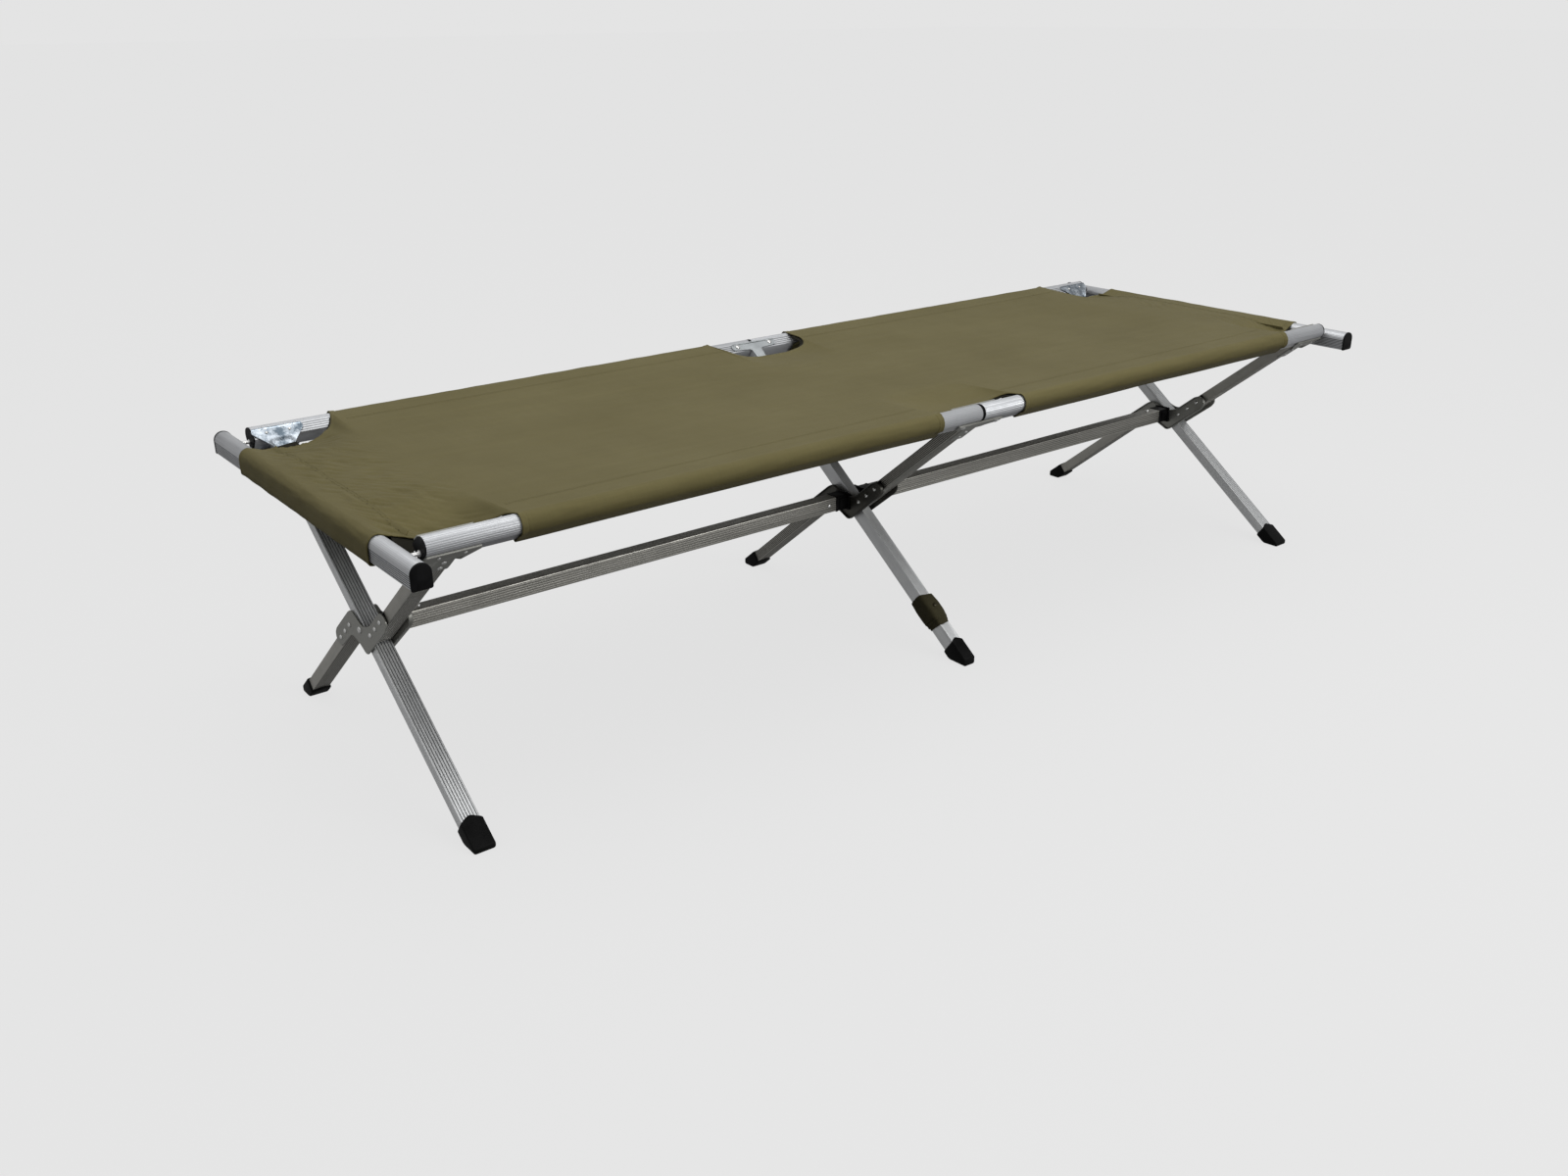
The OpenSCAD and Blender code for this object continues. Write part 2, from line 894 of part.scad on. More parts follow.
color(steel) {  // back_plate_rivets
        for (x = [-leg_x, 0, leg_x])
            back_top(x)
                stem_rivets(span_n(x));
        for (x = [-leg_x, leg_x])
            back_top(x)
                corner_rivets();
    }
color(steel) {  // front_plate_rivets
        for (x = [-leg_x, 0, leg_x])
            front_top(x)
                stem_rivets(leg_t);
        for (x = [-leg_x, leg_x])
            front_top(x)
                corner_rivets();
    }
color(dark_alu) stretcher(-1);  // stretcher_left
color(dark_alu) stretcher(1);  // stretcher_right
color(black) socket_set();  // stretcher_sockets
color(black) yoke_set();  // stretcher_yokes
color(steel) yoke_pin_set();  // yoke_pins
color(steel) snap_button(-1);  // snap_button_left
color(steel) snap_button(1);  // snap_button_right
color(alu) end_bar(-1);  // end_bar_left
color(alu) end_bar(1);  // end_bar_right
color(black) end_bar_cap_pair(-1);  // end_bar_caps_left
color(black) end_bar_cap_pair(1);  // end_bar_caps_right
color(olive) canvas_cover();
color(olive) storage_strap();
color(steel) strap_rivet();
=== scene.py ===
"""Looks of the folding cot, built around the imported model. Metres, X along the cot, Z up."""
import bpy, bmesh, math
from mathutils import Matrix, Vector, noise


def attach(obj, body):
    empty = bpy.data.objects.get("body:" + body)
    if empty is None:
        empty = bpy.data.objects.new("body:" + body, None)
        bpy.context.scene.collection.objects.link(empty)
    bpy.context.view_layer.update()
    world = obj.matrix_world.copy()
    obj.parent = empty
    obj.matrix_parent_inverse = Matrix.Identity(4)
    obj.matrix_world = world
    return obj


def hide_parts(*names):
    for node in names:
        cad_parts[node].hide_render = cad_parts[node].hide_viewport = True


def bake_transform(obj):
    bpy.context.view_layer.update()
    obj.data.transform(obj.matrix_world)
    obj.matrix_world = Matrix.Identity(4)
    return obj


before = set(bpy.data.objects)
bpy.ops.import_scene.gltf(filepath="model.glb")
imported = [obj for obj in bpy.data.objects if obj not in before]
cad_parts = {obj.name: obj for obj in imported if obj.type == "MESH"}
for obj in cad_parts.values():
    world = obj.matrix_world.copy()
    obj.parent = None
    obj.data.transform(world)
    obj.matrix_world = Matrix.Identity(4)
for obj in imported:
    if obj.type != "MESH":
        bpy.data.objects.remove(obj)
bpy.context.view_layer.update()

pi, sin, cos, rad = math.pi, math.sin, math.cos, math.radians
scene = bpy.context.scene

# ---------- sizes, the same as the CAD part ----------
# height of the scissor pivots, leg length from pivot to rail, slope of the long legs
HUB_Z, REACH, LONG_A = 0.212, 0.361, rad(36)
RAIL_Y, RAIL_Z = REACH * cos(LONG_A), HUB_Z + REACH * sin(LONG_A)
# distance of the end leg pairs from the middle
LEG_X = 0.876
PAIRS = ((-LEG_X, "left"), (0, "middle"), (LEG_X, "right"))
HANDS = ((-1, "left"), (1, "right"))
# the split leg steps aside at the pivot and ends short of it
STEP = 0.020
SPLIT_Y, SPLIT_Z = RAIL_Y - STEP * sin(LONG_A), RAIL_Z - HUB_Z + STEP * cos(LONG_A)
SHORT_A, SHORT_REACH = math.atan2(SPLIT_Z, SPLIT_Y), math.hypot(SPLIT_Y, SPLIT_Z)
SHORT_IN = SHORT_REACH - 0.023
# where a leg's tube ends below its rail
LEG_TOP = 0.0165
# middle of the end bars, half their length and the thickness of their caps
BAR_X, BAR_Z, BAR_HALF, CAP_T = 0.937, 0.411, 0.345, 0.003
BAR_END = BAR_HALF - CAP_T
# sections: arched rail and bar, leg, stretcher
ARCH_W, ARCH_H = 0.026, 0.032
LEG_W, LEG_T = 0.027, 0.019
STRETCH_W = 0.025
# rail halves: the gap at the middle, the far end, the plugs' thickness and the studs' height
RAIL_GAP, RAIL_END, PLUG_T, STUD_Z = 0.003, 0.912, 0.0024, RAIL_Z - 0.006
# hub plates, and the links between them and the stretcher
PLATE_X, PLATE_T = 0.015, 0.0025
LINK_X, LINK_LEN = 0.0175, 0.028
# how far pressed brackets stand off a tube, and their thickness
PROUD, SHEET_T = 0.0022, 0.0021
MIRROR_Y = Matrix.Scale(-1, 4, Vector((0, 1, 0)))
FLIP_Z = Matrix.Scale(-1, 4, Vector((0, 0, 1)))
# a profile's plane (a, b) set across a length: a, b -> Y, Z along X; X, Z along Y; Z, X along Y
ALONG_X = Matrix(((0, 0, 1, 0), (1, 0, 0, 0), (0, 1, 0, 0), (0, 0, 0, 1)))
ALONG_Y = Matrix(((1, 0, 0, 0), (0, 0, 1, 0), (0, 1, 0, 0), (0, 0, 0, 1)))
UPRIGHT = Matrix(((0, 1, 0, 0), (0, 0, 1, 0), (1, 0, 0, 0), (0, 0, 0, 1)))


def at(x, y, z):
    return Matrix.Translation((x, y, z))


def turn(angle):
    return Matrix.Rotation(angle, 4, "X")


def to_x(side):
    """Local frame that turns +Z to the X side given."""
    return Matrix.Rotation(side * pi / 2, 4, "Y")


def long_frame(x):
    """The pivot at x, with +Y up along the long leg."""
    return at(x, 0, HUB_Z) @ turn(LONG_A)


def back_top(x):
    """Where the long leg meets the back rail."""
    return long_frame(x) @ at(0, REACH, 0)


def front_top(x):
    """Where the split leg meets the front rail."""
    return at(x, -RAIL_Y, RAIL_Z) @ MIRROR_Y @ turn(SHORT_A)


def back_foot(x):
    """The split leg's foot."""
    return at(x, RAIL_Y, 2 * HUB_Z - RAIL_Z) @ MIRROR_Y @ turn(SHORT_A)


def hub_frame(x):
    return at(x, 0, HUB_Z) @ MIRROR_Y @ turn(LONG_A)


def smooth(t):
    """0 up to t = 0, 1 from t = 1, an even curve between."""
    t = min(max(t, 0.0), 1.0)
    return t * t * (3 - 2 * t)


# ---------- materials ----------
class Nodes:
    """A short way to wire a shader tree."""

    def __init__(self, tree):
        self.tree = tree

    def put(self, socket, value):
        """Links a socket to another one, or sets it to a plain value."""
        if isinstance(value, bpy.types.NodeSocket):
            self.tree.links.new(value, socket)
        else:
            socket.default_value = value

    def node(self, kind, values=None, **attrs):
        n = self.tree.nodes.new("ShaderNode" + kind)
        for key, value in attrs.items():
            setattr(n, key, value)
        for key, value in (values or {}).items():
            self.put(n.inputs[key], value)
        return n

    def coords(self, kind, scale):
        c = self.node("TexCoord")
        return self.node("Mapping", {"Vector": c.outputs[kind], "Scale": scale}).outputs["Vector"]

    def noise(self, vec, detail=3.0, rough=0.5):
        values = {"Vector": vec, "Scale": 1.0, "Detail": detail, "Roughness": rough}
        return self.node("TexNoise", values).outputs["Fac"]

    def ramp(self, fac, stops):
        n = self.node("ValToRGB", {"Fac": fac})
        e = n.color_ramp.elements
        while len(e) < len(stops):
            e.new(0.5)
        for el, (pos, col) in zip(e, stops):
            el.position = pos
            el.color = (*col, 1)
        return n.outputs["Color"]

    def span(self, value, lo, hi, lo2, hi2):
        return self.node("MapRange", {"Value": value, 1: lo, 2: hi, 3: lo2, 4: hi2}).outputs["Result"]

    def mix(self, fac, a, b):
        """Colours a and b mixed; either may be a plain (r, g, b)."""
        a, b = [(*c, 1) if isinstance(c, tuple) else c for c in (a, b)]
        return self.node("Mix", {0: fac, 6: a, 7: b}, data_type="RGBA").outputs[2]

    def math(self, op, a, b=0.0):
        return self.node("Math", {0: a, 1: b}, operation=op).outputs[0]

    def blend(self, a, b, share):
        """Values a and b added up, with the share that b takes."""
        return self.math("ADD", self.math("MULTIPLY", a, 1 - share), self.math("MULTIPLY", b, share))

    def bump(self, height, strength, distance, under=None):
        values = {"Height": height, "Strength": strength, "Distance": distance}
        if under is not None:
            values["Normal"] = under
        return self.node("Bump", values).outputs["Normal"]


class Material(Nodes):
    """A named material round one Principled shader."""

    SOCKETS = {"color": "Base Color", "rough": "Roughness", "metal": "Metallic", "normal": "Normal",
               "sheen": "Sheen Weight", "sheen_rough": "Sheen Roughness", "spec": "Specular IOR Level"}

    def __init__(self, name):
        self.mat = bpy.data.materials.new(name)
        self.mat.use_nodes = True
        super().__init__(self.mat.node_tree)
        self.bsdf = self.tree.nodes["Principled BSDF"]

    def set(self, **values):
        for key, value in values.items():
            self.put(self.bsdf.inputs[self.SOCKETS[key]], value)
        return self.mat


def times(colour, k):
    return tuple(c * k for c in colour)


def extruded_metal(name, dark, light, rough, metal=0.72):
    """Drawn aluminium: streaks along the length, faint handling marks, painted shade in the grooves and in
    the bores of the tubes.
    """
    n = Material(name)
    fine = n.noise(n.coords("UV", (2.2, 900, 1)), 4.0)
    broad = n.noise(n.coords("UV", (6, 60, 1)))
    marks = n.noise(n.coords("Object", (38, 38, 38)), 6.0, 0.62)
    col = n.ramp(n.blend(fine, broad, 0.65), [(0.33, dark), (0.66, light)])
    col = n.mix(n.span(marks, 0.55, 0.8, 0.0, 0.3), col, times(dark, 0.75))
    # painted shade: the attribute read here darkens the grooves, the tubes' bores and their ends
    groove_shade = n.node("Attribute", attribute_name="groove_shade").outputs["Fac"]
    col = n.mix(n.span(groove_shade, 0.0, 1.0, 0.0, 0.80), col, times(dark, 0.10))
    r = n.span(n.math("ADD", fine, marks), 0.7, 1.3, rough - 0.07, rough + 0.10)
    return n.set(color=col, rough=r, metal=metal, normal=n.bump(fine, 0.06, 0.0004))


def sheet_metal(name, dark, light, rough, grain=1.0, metal=1.0, size=30):
    """Pressed sheet: cloudy finish with small dents."""
    n = Material(name)
    cloud = n.noise(n.coords("Object", (size, size, size)), 5.0, 0.6)
    fine = n.noise(n.coords("Object", (420, 420, 420)))
    col = n.ramp(n.blend(cloud, fine, 0.2), [(0.36, dark), (0.62, light)])
    r = n.span(cloud, 0.35, 0.65, rough - 0.06, rough + 0.1)
    normal = n.bump(cloud, 0.25 * grain, 0.0022, n.bump(fine, 0.15 * grain, 0.0004))
    return n.set(color=col, rough=r, metal=metal, normal=normal)


def moulded(name, colour, rough, bump):
    """Black plastic or rubber: fine grain, and patches worn a little lighter."""
    n = Material(name)
    fine = n.noise(n.coords("Object", (700, 700, 700)))
    wear = n.noise(n.coords("Object", (45, 45, 45)), 5.0, 0.6)
    col = n.ramp(wear, [(0.38, colour), (0.72, tuple(c * 2.0 + 0.002 for c in colour))])
    r = n.span(wear, 0.3, 0.7, rough - 0.08, rough + 0.12)
    return n.set(color=col, rough=r, spec=0.07, normal=n.bump(fine, bump, 0.0005))


def woven(name, warp, weft, dark, pitch, depth, coarse):
    """Plain weave from two crossed bands, slubs in the yarns, soft mottling over the cloth."""
    n = Material(name)
    wobble = n.noise(n.coords("UV", (70, 70, 1)), 2.0)
    flat = n.node("SeparateXYZ", {"Vector": n.coords("UV", (1, 1, 1))})
    turns = 2 * pi / pitch
    u = n.math("MULTIPLY", flat.outputs[0], turns)
    v = n.math("MULTIPLY", n.math("ADD", flat.outputs[1], n.math("MULTIPLY", wobble, 0.0006)), turns)
    over = n.math("MULTIPLY", n.math("SINE", u), n.math("SINE", v))
    height = n.math("ADD", n.math("MULTIPLY", n.math("ABSOLUTE", over), 0.9), n.math("MULTIPLY", over, 0.25))
    slub_u = n.noise(n.coords("UV", (4, 1200, 1)))
    slub_v = n.noise(n.coords("UV", (1200, 4, 1)))
    mottle = n.noise(n.coords("UV", (5, 5, 1)), 5.0, 0.55)
    streaks = n.noise(n.coords("UV", (1.2, 45, 1)), 4.0, 0.6)
    col = n.mix(n.span(over, -0.35, 0.35, 0.0, 1.0), warp, weft)
    col = n.mix(n.span(n.math("ADD", slub_u, slub_v), 0.85, 1.3, 0.0, 0.42), col, dark)
    col = n.mix(n.span(mottle, 0.35, 0.7, 0.0, coarse), col, dark)
    col = n.mix(n.span(streaks, 0.45, 0.8, 0.0, coarse * 0.35), col, times(weft, 1.2))
    normal = n.bump(height, 0.35, depth, n.bump(streaks, 0.05, 0.0012))
    return n.set(color=col, rough=n.span(mottle, 0.3, 0.7, 0.76, 0.88), spec=0.16, sheen=0.03,
                 sheen_rough=0.45, normal=normal)


RAIL = extruded_metal("rail_aluminium", (0.40, 0.41, 0.425), (0.52, 0.53, 0.545), 0.42)
LEG = extruded_metal("leg_aluminium", (0.52, 0.53, 0.535), (0.68, 0.69, 0.695), 0.40, 0.60)
OLIVE = extruded_metal("olive_aluminium", (0.28, 0.275, 0.25), (0.37, 0.36, 0.33), 0.44, 0.85)
PLATE = sheet_metal("plate_steel", (0.21, 0.21, 0.19), (0.27, 0.27, 0.25), 0.44, 0.6, 0.8)
# painted shade: a darker copy of the plate steel for the middle hub, which lies in shade under the canvas
SHADED_PLATE = sheet_metal("plate_steel_shaded", (0.036, 0.036, 0.032), (0.070, 0.068, 0.058), 0.40, 0.6, 0.8)
SHINY = sheet_metal("bright_sheet", (0.07, 0.09, 0.11), (0.44, 0.48, 0.52), 0.26, 2.2, 1.0, 60)
BRIGHT = sheet_metal("bright_plate", (0.34, 0.36, 0.37), (0.45, 0.475, 0.485), 0.34, 0.8)
RIVET = sheet_metal("rivet_steel", (0.50, 0.50, 0.49), (0.66, 0.66, 0.65), 0.30)
EYELET = sheet_metal("dark_eyelet", (0.05, 0.045, 0.03), (0.10, 0.09, 0.06), 0.4)
PLASTIC = moulded("black_plastic", (0.0030, 0.0030, 0.0032), 0.42, 0.10)
RUBBER = moulded("black_rubber", (0.0022, 0.0022, 0.0022), 0.58, 0.22)
CANVAS = woven("canvas", (0.102, 0.087, 0.034), (0.117, 0.101, 0.041), (0.077, 0.065, 0.025),
               0.0016, 0.0003, 0.4)
WEBBING = woven("webbing", (0.034, 0.030, 0.013), (0.042, 0.037, 0.017), (0.016, 0.013, 0.006),
                0.0028, 0.0007, 0.6)
# painted shade: near-black cloth for the flap under the canvas's cut edges, standing in for the shade in the
# gaps there
SHADE_FLAP_CLOTH = woven("painted_shade_flap", (0.010, 0.009, 0.005), (0.013, 0.0115, 0.0065), (0.006, 0.0055, 0.003),
               0.0016, 0.0003, 0.5)
THREAD = woven("thread", (0.095, 0.082, 0.034), (0.110, 0.096, 0.042), (0.07, 0.060, 0.025),
               0.0009, 0.0002, 0.4)


# ---------- mesh helpers ----------
def place(name, mesh, mat, body=None, nodes=()):
    """Puts a mesh in the scene as a piece that rides on a body and stands for CAD nodes."""
    mesh.materials.append(mat)
    mesh.shade_smooth()
    obj = bpy.data.objects.new(name, mesh)
    scene.collection.objects.link(obj)
    if body:
        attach(obj, body)
    if nodes:
        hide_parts(*nodes)
    return obj


class Shape:
    """Points, faces, UVs and painted groove shade, gathered for one piece."""

    def __init__(self):
        self.verts, self.faces, self.uvs, self.groove_shades = [], [], [], []

    def add(self, verts, faces, uvs=None, m=None, groove_shade=None):
        base = len(self.verts)
        m = m or Matrix.Identity(4)
        self.verts += [m @ Vector(p) for p in verts]
        self.groove_shades += groove_shade or [0.0] * len(verts)
        self.faces += [tuple(base + i for i in face) for face in faces]
        self.uvs += uvs or [[(verts[i][0], verts[i][1]) for i in face] for face in faces]

    def build(self, name, mat, body, nodes=(), slot=None, sharp=34, bevel=0.0):
        mesh = bpy.data.meshes.new(name)
        mesh.from_pydata(self.verts, [], self.faces)
        layer = mesh.uv_layers.new(name="UVMap")
        layer.data.foreach_set("uv", [q for face in self.uvs for corner in face for q in corner])
        bm = bmesh.new()
        bm.from_mesh(mesh)
        bmesh.ops.recalc_face_normals(bm, faces=bm.faces)
        bm.to_mesh(mesh)
        bm.free()
        if any(self.groove_shades):
            mesh.attributes.new("groove_shade", "FLOAT", "POINT").data.foreach_set("value", self.groove_shades)
        obj = place(name, mesh, mat, body, nodes)
        mesh.set_sharp_from_angle(angle=rad(sharp))
        if bevel:
            mod = obj.modifiers.new("soft_edge", "BEVEL")
            mod.width, mod.segments, mod.limit_method, mod.angle_limit = bevel, 2, "ANGLE", rad(40)
        return obj


def bands(n, rows):
    """Quads between closed rows of n points."""
    return [(r * n + i, r * n + (i + 1) % n, (r + 1) * n + (i + 1) % n, (r + 1) * n + i)
            for r in range(rows - 1) for i in range(n)]


def lids(n, rows):
    """The two end faces of those rows."""
    return [tuple(reversed(range(n))), tuple(range((rows - 1) * n, rows * n))]


def slab(n, rows):
    """Faces of a thin sheet, given as open rows of n points for its top, then for its underside."""
    under, faces = rows * n, []
    for r in range(rows - 1):
        for i in range(n - 1):
            a = r * n + i
            faces.append((a, a + 1, a + n + 1, a + n))
            faces.append((under + a, under + a + n, under + a + n + 1, under + a + 1))
        for a in (r * n, r * n + n - 1):
            faces.append((a, a + n, under + a + n, under + a))
    for r in (0, rows - 1):
        faces += [(a, a + 1, under + a + 1, under + a) for a in range(r * n, r * n + n - 1)]
    return faces


def walked(loop):
    """Distance walked round a closed loop up to each point, and to the first one again."""
    out = [0.0]
    for a, b in zip(loop, loop[1:] + loop[:1]):
        out.append(out[-1] + math.dist(a[:2], b[:2]))
    return out


def prism(shape, outer, start, end, m, inner=None, chamfer=0.0005, rings=None):
    """A profile in (a, b) drawn along the third axis, solid or a tube, with softened ends."""
    n = len(outer)
    z0, z1 = sorted((start, end))
    ca = sum(p[0] for p in outer) / n
    cb = sum(p[1] for p in outer) / n
    k = 1 - chamfer / max(max(abs(p[0] - ca), abs(p[1] - cb)) for p in outer)
    if rings:
        stations = rings
    elif chamfer:
        stations = [(z0, k), (z0 + chamfer, 1), (z1 - chamfer, 1), (z1, k)]
    else:
        stations = [(z0, 1), (z1, 1)]
    verts, uvs, along = [], [], walked(outer)
    for z, s in stations:
        verts += [(ca + (p[0] - ca) * s, cb + (p[1] - cb) * s, z) for p in outer]
    # painted shade of each point, from its loop's third value
    groove_shade = [p[2] if len(p) > 2 else 0.0 for p in outer] * len(stations)
    faces = bands(n, len(stations))
    for (u0, _), (u1, _) in zip(stations, stations[1:]):
        uvs += [[(u0, v0), (u0, v1), (u1, v1), (u1, v0)] for v0, v1 in zip(along, along[1:])]
    if inner is None:
        faces += lids(n, len(stations))
        uvs += [[(verts[i][0], verts[i][1]) for i in face] for face in faces[-2:]]
    else:
        last, base = (len(stations) - 1) * n, len(verts)
        verts += [(p[0], p[1], z) for z in (stations[0][0], stations[-1][0]) for p in inner]
        # painted shade on the bore and the end rims
        groove_shade += [0.6] * (2 * n)
        for i in range(n):
            j = (i + 1) % n
            for quad in ((i, j, base + j, base + i), (last + j, last + i, base + n + i, base + n + j),
                         (base + i, base + j, base + n + j, base + n + i)):
                faces.append(quad)
                uvs.append([(verts[q][2], verts[q][0]) for q in quad])
    shape.add(verts, faces, uvs, m, groove_shade)


# the cut of one groove, as (place across the rib, depth)
FINE = ((0.0, 0), (0.42, 0), (0.56, 0.8), (0.70, 1), (0.86, 0.8))
DEEP = ((0.0, 0), (0.31, 0), (0.35, 1), (0.65, 1), (0.69, 0))
BROAD = ((0.0, 0), (0.24, 0), (0.29, 1), (0.71, 1), (0.76, 0))
CROWN = ((0.0, 0), (0.25, 0), (0.48, 0), (0.60, 0.8), (0.74, 1), (0.88, 0.8))


def ribbed(count, start, end, normal, depth, parts=FINE):
    """Points from start to end with grooves cut against the normal."""
    out = []
    for i in range(count):
        for t, d in parts:
            q = (i + t) / count
            out.append((start[0] + (end[0] - start[0]) * q - normal[0] * depth * d,
                        start[1] + (end[1] - start[1]) * q - normal[1] * depth * d, d))
    return out


def arch_loop(w=ARCH_W, h=ARCH_H, crown_ribs=14, crown_depth=0.0003, side_ribs=4, side_depth=0.0002,
              shade=0.2, side_cut=FINE):
    """Ribbed arch: crown towards +a, flat foot at -a."""
    r, c = w / 2, h / 2 - w / 2
    out = []
    for i in range(crown_ribs):
        for t, d in CROWN:
            g = -pi / 2 + pi * (i + t) / crown_ribs
            q = r - crown_depth * d
            out.append((c + q * cos(g), q * sin(g), d * shade))
    low = -h / 2 + 0.0025
    out += ribbed(side_ribs, (c, r), (low, r), (0, 1), side_depth, side_cut)
    out += [(low, r), (low - 0.0018, r - 0.0007), (-h / 2, r - 0.0025), (-h / 2, 0.0), (-h / 2, -r + 0.0025),
            (low - 0.0018, -r + 0.0007), (low, -r)]
    out += ribbed(side_ribs, (low, -r), (c, -r), (0, -1), side_depth, side_cut)[1:]
    return out


def shrink_loop(loop, wall):
    n = len(loop)
    ca = (max(p[0] for p in loop) + min(p[0] for p in loop)) / 2
    cb = (max(p[1] for p in loop) + min(p[1] for p in loop)) / 2
    ka = 1 - wall / max(abs(p[0] - ca) for p in loop)
    kb = 1 - wall / max(abs(p[1] - cb) for p in loop)
    return [(ca + (p[0] - ca) * ka, cb + (p[1] - cb) * kb) for p in loop]


def box_loop(w, t, ribs_w, depth_w, ribs_t, depth_t, corner=0.0011, cut=FINE, shade=(1.0, 1.0)):
    """Ribbed rectangular tube: w across, t high, ribs on the wide and on the narrow faces."""
    x, y, c = w / 2, t / 2, corner
    q = 0.3 * c

    def side(count, start, end, normal, depth, parts, k):
        return [(p[0], p[1], p[2] * k) for p in ribbed(count, start, end, normal, depth, parts)]

    out = side(ribs_w, (-x + c, y), (x - c, y), (0, 1), depth_w, cut, shade[0])
    out += [(x - c, y), (x - q, y - q), (x, y - c)]
    out += side(ribs_t, (x, y - c), (x, -y + c), (1, 0), depth_t, FINE, shade[1])[1:]
    out += [(x, -y + c), (x - q, -y + q), (x - c, -y)]
    out += side(ribs_w, (x - c, -y), (-x + c, -y), (0, -1), depth_w, cut, shade[0])[1:]
    out += [(-x + c, -y), (-x + q, -y + q), (-x, -y + c)]
    out += side(ribs_t, (-x, -y + c), (-x, y - c), (-1, 0), depth_t, FINE, shade[1])[1:]
    return out + [(-x, y - c), (-x + q, y - q)]


def swap(loop):
    return [(p[1], p[0], *p[2:]) for p in loop]


def lathe(shape, profile, m, n=20):
    """Profile of (radius, height) turned about local Z, closed at both ends on the axis."""
    verts = [(r * cos(2 * pi * i / n), r * sin(2 * pi * i / n), z) for r, z in profile for i in range(n)]
    shape.add(verts, bands(n, len(profile)) + lids(n, len(profile)), None, m)


def dome(r, h, sink=0.0012):
    return [(r * 0.94, -sink), (r * 0.98, 0.0), (r, h * 0.12), (r * 0.93, h * 0.42), (r * 0.76, h * 0.72),
            (r * 0.48, h * 0.93), (r * 0.2, h)]


def rounded(points, radius, steps=4):
    """Corners of a closed outline cut to arcs."""
    out = []
    for i, point in enumerate(points):
        p, a, b = Vector(point), Vector(points[i - 1]), Vector(points[(i + 1) % len(points)])
        cut = min(radius, (a - p).length * 0.45, (b - p).length * 0.45)
        s, e = p + (a - p).normalized() * cut, p + (b - p).normalized() * cut
        for k in range(steps + 1):
            t = k / steps
            out.append(tuple(s * (1 - t) ** 2 + p * 2 * t * (1 - t) + e * t * t))
    return out


def tube(node, body, mat, slot, loop, start, end, m, wall=0.0018):
    """An open ribbed tube between two places along its own length; it stands for its CAD node."""
    shape = Shape()
    prism(shape, loop, start, end, m, shrink_loop(loop, wall), 0.0004)
    shape.build(node + "_tube", mat, body, [node], slot, 30)


def turned(name, node, body, profile, places, n, mat=RIVET):
    """The same turned shape at every place, as one piece."""
    shape = Shape()
    for m in places:
        lathe(shape, profile, m, n)
    shape.build(name, mat, body, [node], "rivet_steel")


# ---------- rails, bars ----------
RAIL_LOOP = arch_loop()
BAR_LOOP = arch_loop(crown_ribs=18, crown_depth=0.00010, side_ribs=6, side_depth=0.0009, shade=0.12,
                     side_cut=BROAD)
ARCH_WALL = 0.0015
STUD = [(0.0040, -0.001), (0.0042, 0.0), (0.0042, 0.0010), (0.0036, 0.0018), (0.0029, 0.0021),
        (0.0027, 0.0030), (0.0027, 0.0138), (0.0020, 0.0146)]
# a bar cap's swell, as (distance out from the tube, share of its full size)
CAP_SWELL = ((0.0, 1.0), (CAP_T - 0.0013, 1.0), (CAP_T - 0.0006, 0.98), (CAP_T, 0.93))


def add_rails(top, body, word, y):
    """Both halves of one side rail, the plugs in their ends and the studs for the end bars."""
    for side, hand in HANDS:
        tube(f"{word}_rail_{hand}", body, RAIL, "rail_aluminium", RAIL_LOOP, side * RAIL_GAP,
             side * RAIL_END, top(0) @ ALONG_X, ARCH_WALL)
    plugs = Shape()
    lid = arch_loop(ARCH_W + 0.0002, ARCH_H + 0.0002, 14, 0.0, 1, 0.0)
    for side in (-1, 1):
        for x, out in ((side * RAIL_END, side), (side * RAIL_GAP, -side)):
            prism(plugs, lid, x, x + out * PLUG_T, top(0) @ ALONG_X, None, 0.0007)
            prism(plugs, shrink_loop(lid, 0.0022), x, x - out * 0.012, top(0) @ ALONG_X, None, 0.0)
    plugs.build(f"{word}_rail_lids", PLASTIC, body, [f"{word}_rail_plugs"], "black_plastic")
    turned(f"{word}_rail_stud_pins", f"{word}_rail_studs", body, STUD,
           [at(side * (RAIL_END + PLUG_T), y, STUD_Z) @ to_x(side) for side in (-1, 1)], 24)


def add_bar(side, hand):
    """An end bar and the caps on its ends."""
    body = f"{hand}_end_bar"
    m = at(side * BAR_X, 0, BAR_Z) @ UPRIGHT
    tube(f"end_bar_{hand}", body, RAIL, "rail_aluminium", BAR_LOOP, -BAR_END, BAR_END, m, ARCH_WALL)
    caps = Shape()
    lid = arch_loop(ARCH_W + 0.0012, ARCH_H + 0.0012, 18, 0.0, 1, 0.0)
    for k in (-1, 1):
        swell = sorted((k * (BAR_END + d), size) for d, size in CAP_SWELL)
        prism(caps, lid, 0.0, 0.0, m, None, 0.0, swell)
        prism(caps, shrink_loop(lid, 0.0026), k * BAR_END, k * (BAR_END - 0.012), m, None, 0.0)
    caps.build(f"end_bar_{hand}_lids", PLASTIC, body, [f"end_bar_caps_{hand}"], "black_plastic")


add_rails(back_top, "back_frame", "back", RAIL_Y)
add_rails(front_top, "front_frame", "front", -RAIL_Y)
for side, hand in HANDS:
    add_bar(side, hand)

